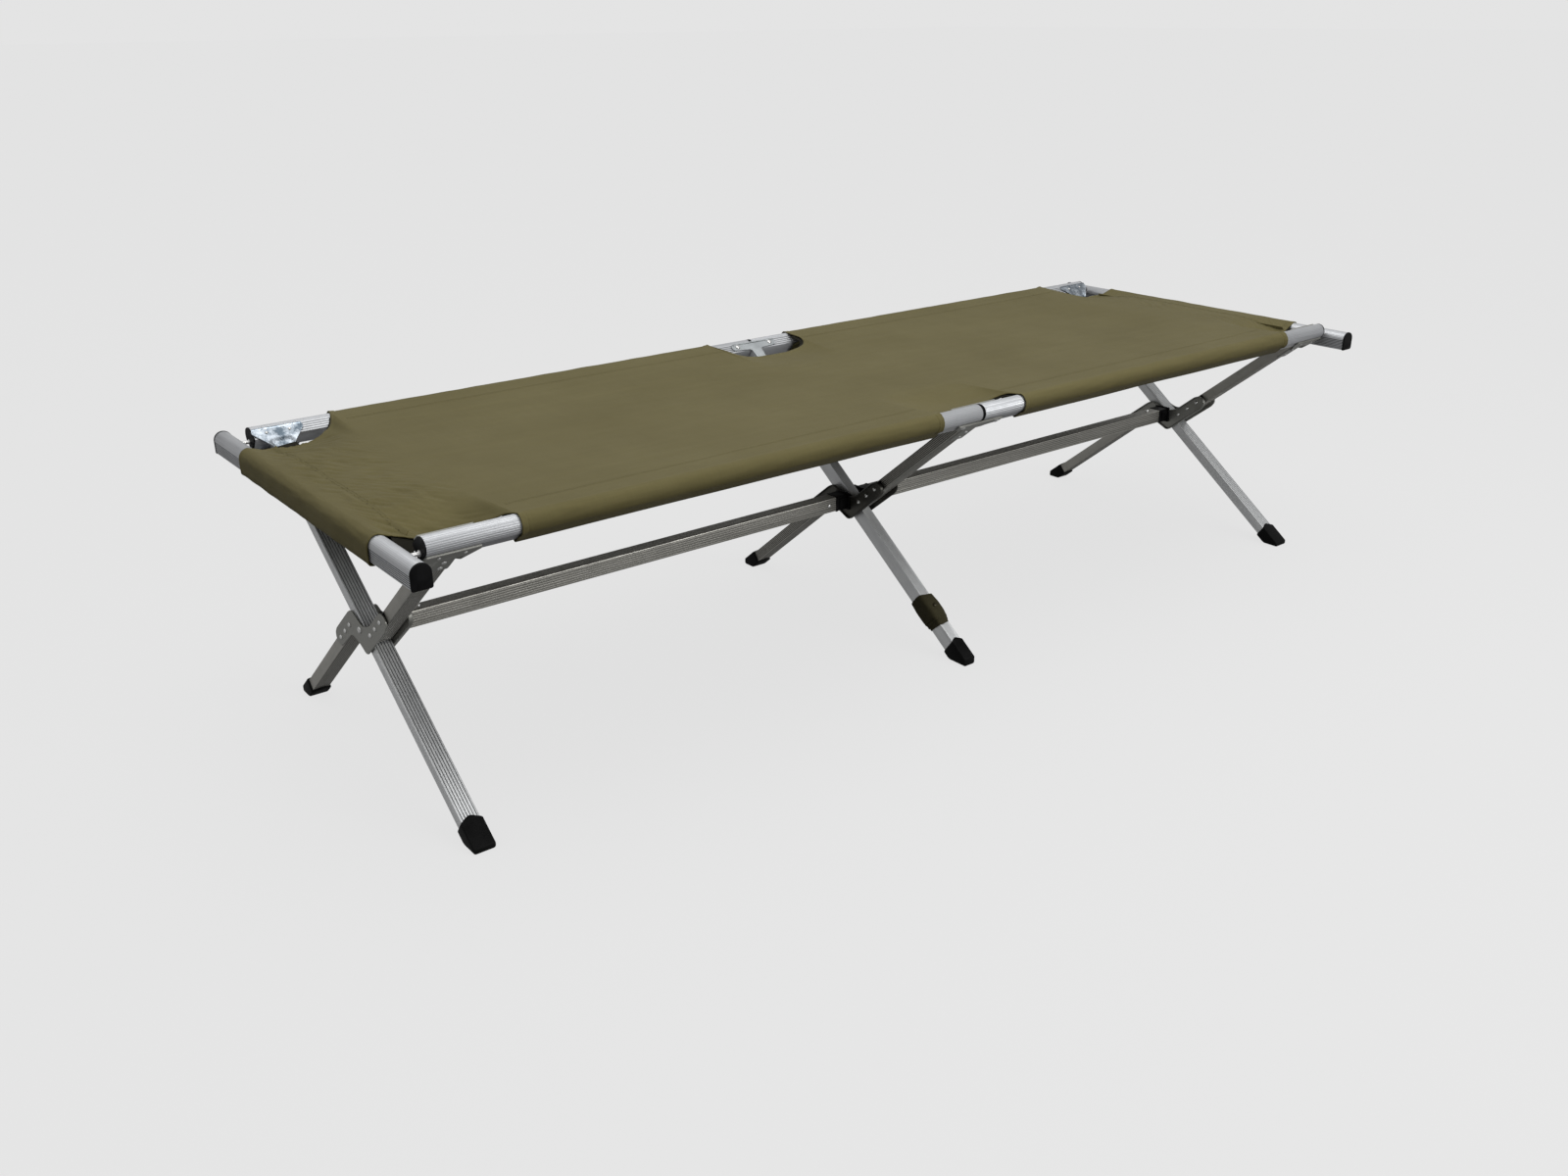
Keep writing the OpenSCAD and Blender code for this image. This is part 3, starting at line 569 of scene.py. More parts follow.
# ---------- legs ----------
WIDE = box_loop(LEG_W, LEG_T, 6, 0.0012, 8, 0.00015, 0.0013, DEEP, (0.85, 0.15))
NARROW = swap(box_loop(LEG_W, LEG_T, 8, 0.0001, 6, 0.0003, 0.0013, FINE, (0.1, 0.35)))
SPLIT = box_loop(LEG_W, LEG_T, 7, 0.0004, 6, 0.0008, 0.0013, FINE, (0.6, 1.0))
SPLIT_END = box_loop(LEG_W, LEG_T, 7, 0.0005, 8, 0.0001, 0.0013, FINE, (0.6, 0.1))
for x, word in PAIRS:
    # the middle long leg is turned a quarter, so its tube ends higher above the ground
    long_loop, foot_gap = (NARROW, 0.024) if x == 0 else (WIDE, 0.016)
    split_loop = SPLIT if x == 0 else SPLIT_END
    tube(f"long_leg_{word}", "back_frame", LEG, "leg_aluminium", long_loop, foot_gap - REACH,
         REACH - LEG_TOP, long_frame(x) @ ALONG_Y)
    tube(f"short_leg_upper_{word}", "front_frame", OLIVE, "olive_aluminium", split_loop, -SHORT_IN,
         -LEG_TOP, front_top(x) @ ALONG_Y)
    tube(f"short_leg_lower_{word}", "front_frame", OLIVE, "olive_aluminium", split_loop, 0.016,
         SHORT_IN, back_foot(x) @ ALONG_Y)

# ---------- boots ----------
# how much wider than its leg a boot is, the length of its block, and how far below the foot that starts
BOOT_GROW, BOOT_LONG, BOOT_DROP = 0.005, 0.086, 0.040
# outward reach of the blunt toe, at the front and at the back
BOOT_TOE = {-1: 0.009, 1: 0.005}
FLANK_TILT = rad(28)


def add_boot(node, body, m, x, w, t, side):
    """A rubber boot: a block round the leg's end, cut level at the ground and bevelled to it."""
    bm = bmesh.new()
    bmesh.ops.create_cube(bm, size=1.0)
    for v in bm.verts:
        v.co = Vector((v.co.x * w, -BOOT_DROP + (v.co.y + 0.5) * BOOT_LONG, v.co.z * t))
    bm.transform(m)

    def cut(point, normal):
        bmesh.ops.bisect_plane(bm, geom=bm.verts[:] + bm.edges[:] + bm.faces[:], plane_co=point,
                               plane_no=normal, clear_outer=True)
        open_edges = [e for e in bm.edges if e.is_boundary]
        if open_edges:
            bmesh.ops.contextual_create(bm, geom=open_edges)

    cut((0, 0, 0), (0, 0, -1))
    cut((x, side * (RAIL_Y + BOOT_TOE[side]), 0), (0, side, 0))
    for k in (-1, 1):
        cut((x + k * (w / 2 - 0.0016), side * RAIL_Y, 0), (k * cos(FLANK_TILT), 0, -sin(FLANK_TILT)))
    for k in (-1, 1):
        # the cuff's upper corners
        normal = (m.to_3x3() @ Vector((k * 0.55, 1, 0))).normalized()
        cut(m @ Vector((k * w / 2, 0.0385, 0)), normal)
    bmesh.ops.recalc_face_normals(bm, faces=bm.faces)
    bmesh.ops.bevel(bm, geom=bm.edges[:], offset=0.0022, segments=3, affect="EDGES", profile=0.5)
    bm.normal_update()
    mesh = bpy.data.meshes.new(node + "_rubber")
    bm.to_mesh(mesh)
    bm.free()
    place(node + "_rubber", mesh, RUBBER, body, [node])
    mesh.set_sharp_from_angle(angle=rad(50))


for x, word in PAIRS:
    w, t = (LEG_T, LEG_W) if x == 0 else (LEG_W, LEG_T)
    add_boot(f"boot_front_{word}", "back_frame", long_frame(x) @ at(0, -REACH, 0), x,
             w + BOOT_GROW, t + BOOT_GROW, -1)
    add_boot(f"boot_back_{word}", "front_frame", back_foot(x), x, LEG_W + BOOT_GROW, LEG_T + BOOT_GROW, 1)

# ---------- hubs ----------
# outline of a hub plate in millimetres, in the plane of the long leg
HUB_OUTLINE = [(-10, 33), (12, 1), (38, -7), (90, -4), (100, -7), (106, -14), (107, -21), (103, -28),
               (93, -32), (22, -35), (-2, -36), (-8, -33), (-19, -14), (-27, -4), (-38, 5), (-90, 4),
               (-100, 7), (-106, 14), (-107, 21), (-103, 28), (-93, 32), (-22, 35)]
HUB_LOOP = rounded([(a / 1000, b / 1000) for a, b in HUB_OUTLINE], 0.009)
# the edge of a plate, as (distance in from the outline, height): flat, or with a rim turned out
FLAT_EDGE = [(0.0006, 0.0), (0.0, 0.0006), (0.0, PLATE_T - 0.0006), (0.0006, PLATE_T)]
RIM_EDGE = [(0.0006, 0.0), (0.0, 0.0007), (0.0, 0.0052), (0.0004, 0.0060), (0.0011, 0.0062),
            (0.0018, 0.0058), (0.0021, 0.0050), (0.0024, 0.0034), (0.0032, PLATE_T)]
# places of the rivets along a split leg, from the end nearer the pivot
RIVET_AT = (0.034, 0.060, 0.086)


def inward(loop, d):
    """The outline moved inwards by d."""
    out, n = [], len(loop)
    area = sum(a[0] * b[1] - b[0] * a[1] for a, b in zip(loop, loop[1:] + loop[:1]))
    s = 1 if area > 0 else -1
    for i in range(n):
        a, b = Vector(loop[i - 1]), Vector(loop[(i + 1) % n])
        t = (b - a).normalized()
        out.append((loop[i][0] - s * t.y * d, loop[i][1] + s * t.x * d))
    return out


def hub_plate(name, node, x, out, steps, mat):
    """Pressed plate on the X side given; its outline lies in the long leg's plane."""
    shape, n = Shape(), len(HUB_LOOP)
    verts = [(a, b, z) for d, z in steps for a, b in inward(HUB_LOOP, d)]
    m = hub_frame(x) @ Matrix(((0, 0, out, out * PLATE_X), (1, 0, 0, 0), (0, 1, 0, 0), (0, 0, 0, 1)))
    shape.add(verts, bands(n, len(steps)) + lids(n, len(steps)), None, m)
    shape.build(name, mat, "front_frame", [node], "plate_steel", 30)


for x, word in PAIRS:
    out = 1 if x >= 0 else -1
    # painted shade: the middle hub's plates take the darkened copy of the steel
    mat = SHADED_PLATE if x == 0 else PLATE
    hub_plate(f"hub_{word}_outer_pressing", f"hub_plate_outer_{word}", x, out, FLAT_EDGE, mat)
    hub_plate(f"hub_{word}_inner_pressing", f"hub_plate_inner_{word}", x, -out, RIM_EDGE, mat)
turned("hub_rivet_heads", "hub_rivets", "front_frame", dome(0.0036, 0.0022),
       [leg @ at(k * LINK_X, sign * (SHORT_REACH - q), 0) @ to_x(k)
        for x, _ in PAIRS for k in (-1, 1)
        for leg, sign in ((front_top(x), -1), (back_foot(x), 1)) for q in RIVET_AT], 20)
turned("hub_pivot_heads", "hub_pins", "back_frame", [(0.0039, -0.03)] + dome(0.0052, 0.0026),
       [long_frame(x) @ at(k * LINK_X, 0, 0) @ to_x(k) for x, _ in PAIRS for k in (-1, 1)], 24)


# ---------- brackets at the rails ----------
EVEN = (-1, -0.93, -0.86, -0.5, 0, 0.5, 0.86, 0.93, 1)
WINGED = (-1, -0.96, -0.8, -0.6, -0.5, -0.42, -0.36, -0.2, 0, 0.2, 0.36, 0.42, 0.5, 0.6, 0.8, 0.96, 1)
# height of a bracket's face above the middle of its rail
FACE = ARCH_W / 2 + PROUD
# distances of the stem's rivets from the rail
STEM_AT = (0.040, 0.058)


def bracket(shape, m, rows, cols=EVEN):
    """Sheet bracket: rows of (y, half width, height, rim lift) across X; closed and thick."""
    def layer(drop):
        return [(c * w, y, (z(abs(c * w)) if callable(z) else z) + (-SHEET_T if drop else lift))
                for y, w, z, lift in rows for c in cols]

    shape.add(layer(False) + layer(True), slab(len(cols), len(rows)), None, m)


def stem_end(half, low):
    """The last rows of a bracket, where its stem narrows to its end on the leg."""
    return [(-0.066, half * 0.97, low, 0), (-0.068, half * 0.88, low, 0)]


def t_rows(half, low):
    """T-plate: a bar along both rail halves and a stem down the middle leg."""
    rows = [(0.0012, 0.043, FACE, 0.0011), (0.0002, 0.0465, FACE, 0.0011), (-0.0012, 0.0475, FACE, 0.0011),
            (-0.0020, 0.0478, FACE, 0), (-0.006, 0.048, FACE, 0), (-0.0105, 0.0475, FACE, 0),
            (-0.0125, 0.045, FACE, 0)]
    if low > FACE:
        rows += [(-0.0138, 0.038, FACE + 0.0001, 0), (-0.0148, 0.026, FACE + 0.0003, 0),
                 (-0.0158, half + 0.004, low, 0), (-0.0185, half + 0.001, low, 0)]
    else:
        rows += [(-0.0138, 0.038, FACE, 0), (-0.0148, 0.028, FACE, 0), (-0.0162, half + 0.005, FACE, 0),
                 (-0.0185, half + 0.001, FACE, 0), (-0.0205, half, FACE + (low - FACE) * 0.3, 0),
                 (-0.025, half, FACE + (low - FACE) * 0.8, 0), (-0.028, half, low, 0)]
    return rows + [(y, half, low, 0) for y in (-0.036, -0.048, -0.060)] + stem_end(half, low)


def corner_rows(half, low):
    """Corner plate: wings along the rail, drawn in to a stem down the end leg."""
    def height(y):
        """The middle steps down to the leg; the wings beside it stay out at the rail's face."""
        step = smooth((-y - 0.017) / 0.010)

        def z(x):
            out = min(max((x - half - 0.0003) / 0.004, 0.0), 1.0)
            return FACE + (low - FACE) * step * (1 - out)
        return z

    rows = [(0.0022, 0.0350, FACE, 0), (0.0012, 0.0362, FACE, 0.0009), (0.0, 0.0368, FACE, 0.0009),
            (-0.0012, 0.0374, FACE, 0), (-0.003, 0.038, FACE, 0), (-0.0065, 0.038, FACE, 0),
            (-0.0085, 0.0372, FACE, 0)]
    for i in range(1, 11):
        y = -0.0085 - 0.0255 * i / 10
        rows.append((y, 0.0372 - (0.0372 - half - 0.0022) * i / 10, height(y), 0))
    return rows + [(y, half, low, 0) for y in (-0.0348, -0.048, -0.060)] + stem_end(half, low)


def add_brackets(word, top, body, t_mat, corner_mat, half, deep):
    """The T-plates, corner plates and rivets of one rail. The middle leg is 2 * half wide along the cot
    and 2 * deep thick."""
    for node, m in ((f"{word}_t_plate_upper", top(0)), (f"{word}_t_plate_lower", top(0) @ FLIP_Z)):
        plate = Shape()
        bracket(plate, m, t_rows(half, deep + PROUD))
        plate.build(node + "_pressing", t_mat, body, [node], "plate_steel", 30, 0.0004)
    for side, hand in HANDS:
        plates, m = Shape(), top(side * LEG_X)
        for face in (m, m @ FLIP_Z):
            bracket(plates, face, corner_rows(LEG_W / 2, LEG_T / 2 + PROUD), WINGED)
        plates.build(f"{word}_corner_{hand}_pressings", corner_mat, body,
                     [f"{word}_corner_plates_{hand}"], "plate_steel", 30, 0.0004)
    turned(f"{word}_joint_pin_heads", f"{word}_joint_pins", body, dome(0.0046, 0.0024),
           [face @ at(k * 0.036, -0.006, FACE) for k in (-1, 1) for face in (top(0), top(0) @ FLIP_Z)], 24)
    rivets = Shape()
    for x, _ in PAIRS:
        low = (LEG_T / 2 if x else deep) + PROUD
        for face in (top(x), top(x) @ FLIP_Z):
            for d in STEM_AT:
                lathe(rivets, dome(0.0034, 0.0018), face @ at(0, -d, low), 18)
            if x:
                for k in (-1, 1):
                    lathe(rivets, dome(0.0024, 0.0014), face @ at(k * 0.017, -0.008, FACE), 16)
    rivets.build(f"{word}_bracket_rivet_heads", RIVET, body, [f"{word}_plate_rivets"], "rivet_steel")


add_brackets("back", back_top, "back_frame", BRIGHT, SHINY, LEG_T / 2, LEG_W / 2)
add_brackets("front", front_top, "front_frame", PLATE, PLATE, LEG_W / 2, LEG_T / 2)

# ---------- stretcher ----------
TUBE_IN, TUBE_OUT = LINK_X + LINK_LEN, LEG_X - LINK_X - LINK_LEN
SQUARE = box_loop(STRETCH_W, STRETCH_W, 6, 0.0005, 6, 0.0005, 0.0017, FINE, (0.75, 0.75))
BUTTON = [(0.0046, 0.0062), (0.0046, 0.0082), (0.0031, 0.0084), (0.0031, 0.0146), (0.0027, 0.0154),
          (0.0015, 0.0157)]
# a link's collars, as (width, height, start, end) outwards from its hub plate
COLLARS = ((0.034, 0.030, 0.0, 0.004), (0.0262, 0.0262, 0.003, 0.0262),
           (0.0272, 0.0272, 0.0240, LINK_LEN), (0.0206, 0.0206, LINK_LEN - 0.002, LINK_LEN + 0.02))


def block(w, h, radius=0.002):
    return rounded([(-w / 2, -h / 2), (w / 2, -h / 2), (w / 2, h / 2), (-w / 2, h / 2)], radius, 3)


def link(shape, x, d):
    """Black link: a flanged collar at the plate, narrowing to the tube's mouth, with a rib each side."""
    m = at(x, 0, HUB_Z) @ ALONG_X
    for w, h, start, end in COLLARS:
        prism(shape, block(w, h), d * start, d * end, m, None, 0.0006)
    for k in (-1, 1):
        prism(shape, block(0.0022, 0.018, 0.0006), d * 0.0045, d * 0.021, m @ at(k * 0.0137, 0, 0))


yokes, sockets = Shape(), Shape()
for side, hand in HANDS:
    tube(f"stretcher_{hand}", "front_frame", OLIVE, "olive_aluminium", SQUARE, side * TUBE_IN,
         side * TUBE_OUT, at(0, 0, HUB_Z) @ ALONG_X)
    turned(f"snap_button_{hand}_stud", f"snap_button_{hand}", f"{hand}_button", BUTTON,
           [at(side * (TUBE_OUT - 0.025), 0, HUB_Z)], 24)
    link(yokes, side * LINK_X, side)
    link(sockets, side * (LEG_X - LINK_X), -side)
yokes.build("stretcher_yoke_mouldings", PLASTIC, "front_frame", ["stretcher_yokes"], "black_plastic")
sockets.build("stretcher_socket_mouldings", PLASTIC, "front_frame", ["stretcher_sockets"], "black_plastic")
turned("yoke_pin_heads", "yoke_pins", "front_frame", dome(0.0036, 0.0016),
       [at(d * (TUBE_IN + 0.015), k * STRETCH_W / 2, HUB_Z) @ turn(-k * pi / 2)
        for d in (-1, 1) for k in (-1, 1)], 20)
# CAD nodes that stay, with their finish
for node in ("hub_spacers", "hub_washers"):
    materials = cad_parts[node].data.materials
    materials.clear()
    materials.append(PLASTIC)

# ---------- strap ----------
# turns of webbing, as (start and end along the leg, clearance, thickness, seed)
TURNS = ((-0.283, -0.228, 0.0006, 0.0014, 3.0), (-0.278, -0.236, 0.0020, 0.0013, 11.0),
         (-0.272, -0.226, 0.0033, 0.0012, 23.0))
# length of webbing from one point of a turn to the next
STRAP_STEP = 0.0017


def strap_turn(shape, y0, y1, gap, thick, seed, n=56, rows=14):
    """One turn: a rounded rectangle about the tube that bulges away from it."""
    outer, inner = [], []
    for r in range(rows + 1):
        q = r / rows
        for i in range(n):
            g = 2 * pi * i / n
            cx, cz = cos(g), sin(g)
            p = (abs(cx) ** 5 + abs(cz) ** 5) ** (-1 / 5)
            bulge = 0.0016 * sin(pi * q) * (1.2 + 0.8 * cx)
            bulge += 0.0012 * noise.noise(Vector((cx * 2, cz * 2, q * 3 + seed)))
            wx, wz = LEG_T / 2 + gap + bulge, LEG_W / 2 + gap * 0.8 + bulge * 0.6
            skew = 0.0035 * sin(g + seed) + 0.0015 * noise.noise(Vector((cx, cz, seed)))
            y = y0 + (y1 - y0) * q + skew
            outer.append((p * cx * (wx + thick), y, p * cz * (wz + thick)))
            inner.append((p * cx * wx, y, p * cz * wz))
    faces, uvs, base = [], [], len(outer)
    for a, b, c, d in bands(n, rows + 1):
        r, i = divmod(a, n)
        ua, ub = i * STRAP_STEP, (i + 1) * STRAP_STEP
        va, vb = y0 + (y1 - y0) * r / rows, y0 + (y1 - y0) * (r + 1) / rows
        faces += [(a, b, c, d), (base + a, base + d, base + c, base + b)]
        uvs += [[(ua, va), (ub, va), (ub, vb), (ua, vb)], [(ua, va), (ua, vb), (ub, vb), (ub, va)]]
    for r in (0, rows):
        for i in range(n):
            a, b = r * n + i, r * n + (i + 1) % n
            ua, ub = i * STRAP_STEP, (i + 1) * STRAP_STEP
            faces.append((a, b, base + b, base + a))
            uvs.append([(ua, 0), (ub, 0), (ub, 0.001), (ua, 0.001)])
    shape.add(outer + inner, faces, uvs, long_frame(0))


strap = Shape()
for values in TURNS:
    strap_turn(strap, *values)
strap.build("storage_strap_webbing", WEBBING, "back_frame", ["storage_strap"], "webbing", 60)
turned("strap_rivet_head", "strap_rivet", "back_frame", dome(0.0034, 0.0018),
       [long_frame(0) @ at(0, -0.252, LEG_W / 2 + 0.0058)], 20, EYELET)

# ---------- canvas ----------
CLOTH = 0.0012
# radius of the cloth's middle layer round a rail or bar
R_CLOTH = ARCH_W / 2 + 0.0006 + CLOTH / 2
# a profile's round crown is centred this far above the middle of the tube
CROWN_UP = ARCH_H / 2 - ARCH_W / 2
CROWN_Y, CROWN_Z = RAIL_Y + CROWN_UP * cos(LONG_A), RAIL_Z + CROWN_UP * sin(LONG_A)
BAR_CROWN_Z = BAR_Z + CROWN_UP
# length of a tube's flank below the crown's centre, and the cloth's way down it and round the edge of
# the flat foot, as (distance below the crown, share out from the middle)
FLANK = 0.0195
WAY_DOWN = [(FLANK * 0.33, 1.0), (FLANK * 0.66, 1.0), (FLANK, 1.0), (FLANK + 0.0018, 0.93),
            (FLANK + 0.0026, 0.75), (FLANK + 0.003, 0.3)]
# where the rail sleeves begin and end, and how far the middle of the field hangs down
SLEEVE_IN, SLEEVE_OUT, SAG = 0.088, 0.790, 0.011
# the field leaves the rail this far round its crown
LEAVE_A = rad(4)
RAIL_TOP = CROWN_Z + R_CLOTH * cos(LEAVE_A)
BAR_TOP = BAR_CROWN_Z + R_CLOTH
FULL = CROWN_Y - R_CLOTH * sin(LEAVE_A)
# cut edges of the cloth, as (distance from mid length, from mid width, height)
CUT_MIDDLE = [(0.0, 0.2155, 0.4262), (0.030, 0.2160, 0.4266), (0.055, 0.2180, 0.4290),
              (0.070, 0.2225, 0.4322), (0.080, 0.2330, 0.4355), (0.0855, 0.2520, 0.4385),
              (SLEEVE_IN, FULL, RAIL_TOP)]
CUT_CORNER = [(SLEEVE_OUT, FULL, RAIL_TOP), (0.795, 0.2780, 0.4360), (0.800, 0.2680, 0.4305),
              (0.810, 0.2560, 0.4232), (0.825, 0.2450, 0.4150), (0.845, 0.2420, 0.4105),
              (0.870, 0.2400, 0.4085), (0.888, 0.2380, 0.4115), (0.900, 0.2335, 0.4160),
              (0.915, 0.2290, 0.4205), (BAR_X, 0.2270, BAR_TOP)]


def drift(*where):
    """Smooth noise at a place in its own space."""
    return noise.noise(Vector(where))


def tangent(points, i, c):
    """Slope of value c at row i: the harmonic mean of the slopes beside it, or 0 where they disagree."""
    near = points[max(i - 1, 0):i + 2]
    slopes = [(b[c] - a[c]) / (b[0] - a[0]) for a, b in zip(near, near[1:])]
    if len(slopes) == 1:
        return slopes[0]
    a, b = slopes
    return 0.0 if a * b <= 0 else 2 * a * b / (a + b)


def curve(points, x):
    """Smooth line through rows of (x, value, value), with no overshoot."""
    k = max(i for i in range(len(points) - 1) if points[i][0] <= x or i == 0)
    h = points[k + 1][0] - points[k][0]
    t = (x - points[k][0]) / h
    out = []
    for c in (1, 2):
        p0, p1 = points[k][c], points[k + 1][c]
        m0, m1 = tangent(points, k, c) * h, tangent(points, k + 1, c) * h
        out.append((2 * t ** 3 - 3 * t * t + 1) * p0 + (t ** 3 - 2 * t * t + t) * m0
                   + (3 * t * t - 2 * t ** 3) * p1 + (t ** 3 - t * t) * m1)
    return out


def edge(x, back=False):
    """Half width of the field at x and the height of its edge: the front middle and the back corners
    are drawn closer to their rail."""
    a = abs(x)
    if a < SLEEVE_IN:
        e, z = curve(CUT_MIDDLE, a)
        drawn = 0.0 if back else 0.5 * (FULL - e)
        return [e + drawn, z - 0.08 * drawn]
    if a > SLEEVE_OUT:
        e, z = curve(CUT_CORNER, min(a, BAR_X))
        drawn = smooth((a - 0.800) / 0.02) * (1 - smooth((a - 0.885) / 0.03)) if back else 0.0
        return [e + 0.0065 * drawn, z + 0.004 * drawn]
    return [FULL, RAIL_TOP]


def wrinkle(x, y):
    """Small folds: fine slanting ones by the bars, faint pulls at the cut-outs, one crease."""
    a, seed = abs(x), 3.0 if x < 0 else 17.0
    band = smooth((a - 0.785) / 0.06) * (1 - 0.8 * smooth((a - 0.916) / 0.014))
    h = 0.0
    if band > 0:
        slant = y * 66 - a * 96 + 1.2 * drift(a * 14, y * 9, seed)
        along = a * 16 + y * 11
        patch = 0.5 + 1.4 * max(0.0, drift(a * 14, y * 12, seed + 4) + 0.2)
        fine = drift(along, slant, seed)
        small = drift(along * 1.6, slant * 1.6, seed + 8)
        strength = 1.0 if x < 0 else 0.45
        h += band * patch * strength * (0.0028 * (0.42 - abs(fine) * 1.7) + 0.0012 * small)
    crease = x + 0.925 - 0.014 * smooth((-0.022 - y) / 0.035)
    crease_length = smooth((-0.016 - y) / 0.012) * smooth((y + 0.112) / 0.03)
    h += 0.0019 * math.exp(-(crease / 0.0034) ** 2) * crease_length
    pull = smooth((0.17 - a) / 0.12) * smooth((abs(y) - 0.13) / 0.08)
    h += 0.0009 * pull * drift(x * 22 + y * 30, y * 14 - a * 20, 5.0)
    return h + 0.0008 * drift(x * 4.5, y * 9, 1.0) + 0.0003 * drift(x * 20, y * 50, 2.0)


def field_z(x, y):
    """Height of the taut field, with its sag and the droop of its cut edges."""
    a, b = abs(x), abs(y)
    e, top = edge(x, y > 0)
    end = smooth((a - 0.72) / (BAR_X - 0.72)) ** 1.15
    slack = SAG * (1 - smooth((a - 0.60) / (BAR_X - 0.60)))

    def taut(q):
        return RAIL_TOP + (BAR_TOP - RAIL_TOP) * end - slack * (1 - (q / CROWN_Y) ** 2)

    on_rail = smooth((b - FULL + 0.012) / 0.012)
    hem = 0.0006 * math.exp(-((e - b - 0.0055) / 0.0035) ** 4) if e < FULL - 0.001 else 0.0
    droop = (top - taut(e)) * smooth((b - e + 0.13) / 0.13) ** 1.3
    return taut(b) + droop + wrinkle(x, y) * (1 - on_rail) + hem


def rim(d):
    """The doubled hem at a sleeve's end: proud for 8 mm, then the dip of its stitch line."""
    open_end = 0.0010 * smooth((0.004 - d) / 0.004)
    doubled = 0.0010 * (1 - smooth((d - 0.0078) / 0.0012))
    return open_end + doubled - 0.0003 * math.exp(-((d - 0.0092) / 0.0009) ** 2)


def between(a, b, shares=(0.25, 0.5, 0.75, 1.0)):
    return [(a[0] + (b[0] - a[0]) * q, a[1] + (b[1] - a[1]) * q) for q in shares]


def sleeve_path(y_sign):
    """Points (y, z) round a rail: from the field over the crown and under to the seam."""
    ang = LONG_A if y_sign > 0 else SHORT_A
    cy, cz = RAIL_Y + CROWN_UP * cos(ang), RAIL_Z + CROWN_UP * sin(ang)
    start, stop = pi / 2 + LEAVE_A, ang - pi / 2
    turns = [start + (stop - start) * i / 16 for i in range(1, 17)]
    pts = [(cy + R_CLOTH * cos(g), cz + R_CLOTH * sin(g)) for g in turns]
    for down, k in WAY_DOWN + [(FLANK + 0.003, -0.25), (FLANK + 0.0024, -0.62)]:
        out = R_CLOTH * k
        pts.append((cy + sin(ang) * out - cos(ang) * down, cz - cos(ang) * out - sin(ang) * down))
    # the lower layer runs in towards the seam under the field, and sags a little
    run = between(pts[-1], (CROWN_Y - 0.046, CROWN_Z + R_CLOTH - 0.0052))
    pts += [(y, z - 0.0014 * sin(pi * (i + 1) / 4)) for i, (y, z) in enumerate(run)]
    return [(y_sign * y, z) for y, z in pts]


def bar_path():
    """The same round an end bar, in (x, z) for the right-hand bar."""
    turns = [pi / 2 - pi / 2 * i / 14 for i in range(1, 15)]
    pts = [(BAR_X + R_CLOTH * cos(g), BAR_CROWN_Z + R_CLOTH * sin(g)) for g in turns]
    for down, k in WAY_DOWN + [(FLANK + 0.003, -0.3), (FLANK + 0.0026, -0.75), (FLANK + 0.0008, -0.96)]:
        pts.append((BAR_X + R_CLOTH * k, BAR_CROWN_Z - down))
    return pts + between(pts[-1], (BAR_X - 0.038, BAR_CROWN_Z + R_CLOTH - 0.004))


def columns():
    """X stations, closer together at the sleeve ends, the cut-outs and the wrinkled ends."""
    hem = (0.0012, 0.003, 0.005, 0.007, 0.0079, 0.0086, 0.0093, 0.0104)
    half = [0.0, 0.010, 0.020, 0.030, 0.039, 0.047, 0.054, 0.060, 0.066, 0.0715, 0.076, 0.0795, 0.082,
            0.084, 0.0855, 0.0867, 0.0875, SLEEVE_IN, SLEEVE_IN + 0.013, SLEEVE_OUT]
    half += [SLEEVE_IN + d for d in hem] + [SLEEVE_OUT - d for d in hem]
    half += [0.101 + (0.700 - 0.101) * i / 58 for i in range(59)]
    half += [0.700 + (0.776 - 0.700) * i / 16 for i in range(1, 17)]
    half += [0.7905, 0.7915, 0.793, 0.795, 0.7975, 0.8005, 0.804]
    half += [0.804 + (BAR_X - 0.804) * i / 50 for i in range(1, 51)]
    half = sorted(set(round(h, 5) for h in half))
    return [-h for h in reversed(half) if h > 0] + half


class Cloth:
    """The points, faces and flat coordinates of the canvas, built up line by line."""

    def __init__(self):
        self.verts, self.faces, self.flat = [], [], []

    def point(self, x, y, z, u, v):
        self.verts.append((x, y, z))
        self.flat.append((u, v))
        return len(self.verts) - 1

    def strip(self, one, two, flip=False):
        """Quads between two lines of points that lie side by side."""
        for a0, a1, b0, b1 in zip(one, one[1:], two, two[1:]):
            quad = (a0, b0, b1, a1)
            self.faces.append(tuple(reversed(quad)) if flip else quad)


def rail_sleeve(cloth, sign, xs, field_edge):
    """The cloth from the field's edge round one rail to its seam, in a line of points at each x."""
    path, lines = sleeve_path(sign), {}
    for ci, x in enumerate(xs):
        if not SLEEVE_IN - 1e-6 <= abs(x) <= SLEEVE_OUT + 1e-6:
            continue
        ends = min(abs(x) - SLEEVE_IN, SLEEVE_OUT - abs(x))
        lines[ci] = [field_edge[ci]]
        for k, (y, z) in enumerate(path):
            swell = 0.0
            if k <= 15:
                swell = 0.0007 * drift(x * 30, k * 0.35, 4.0 + sign) * min(ends / 0.02, 1) + rim(ends)
                swell += 0.0009 * drift(x * 120, k * 0.9, 6.0 + sign) * smooth((0.02 - ends) / 0.01)
            slack = 0.0012 * smooth((k - 15) / 4) * smooth((24 - k) / 3) * (0.5 + drift(x * 6, 2.0, sign))
            away = Vector((y - sign * CROWN_Y, z - CROWN_Z)).normalized()
            away *= max(swell, -0.0003) * smooth((k + 1) / 3)
            lines[ci].append(cloth.point(x, y + away.x + sign * slack * 0.4, z + away.y - slack,
                                         x, sign * (CROWN_Y + 0.0028 * (k + 1))))
    for ci in lines:
        if ci + 1 in lines:
            cloth.strip(lines[ci], lines[ci + 1], sign < 0)


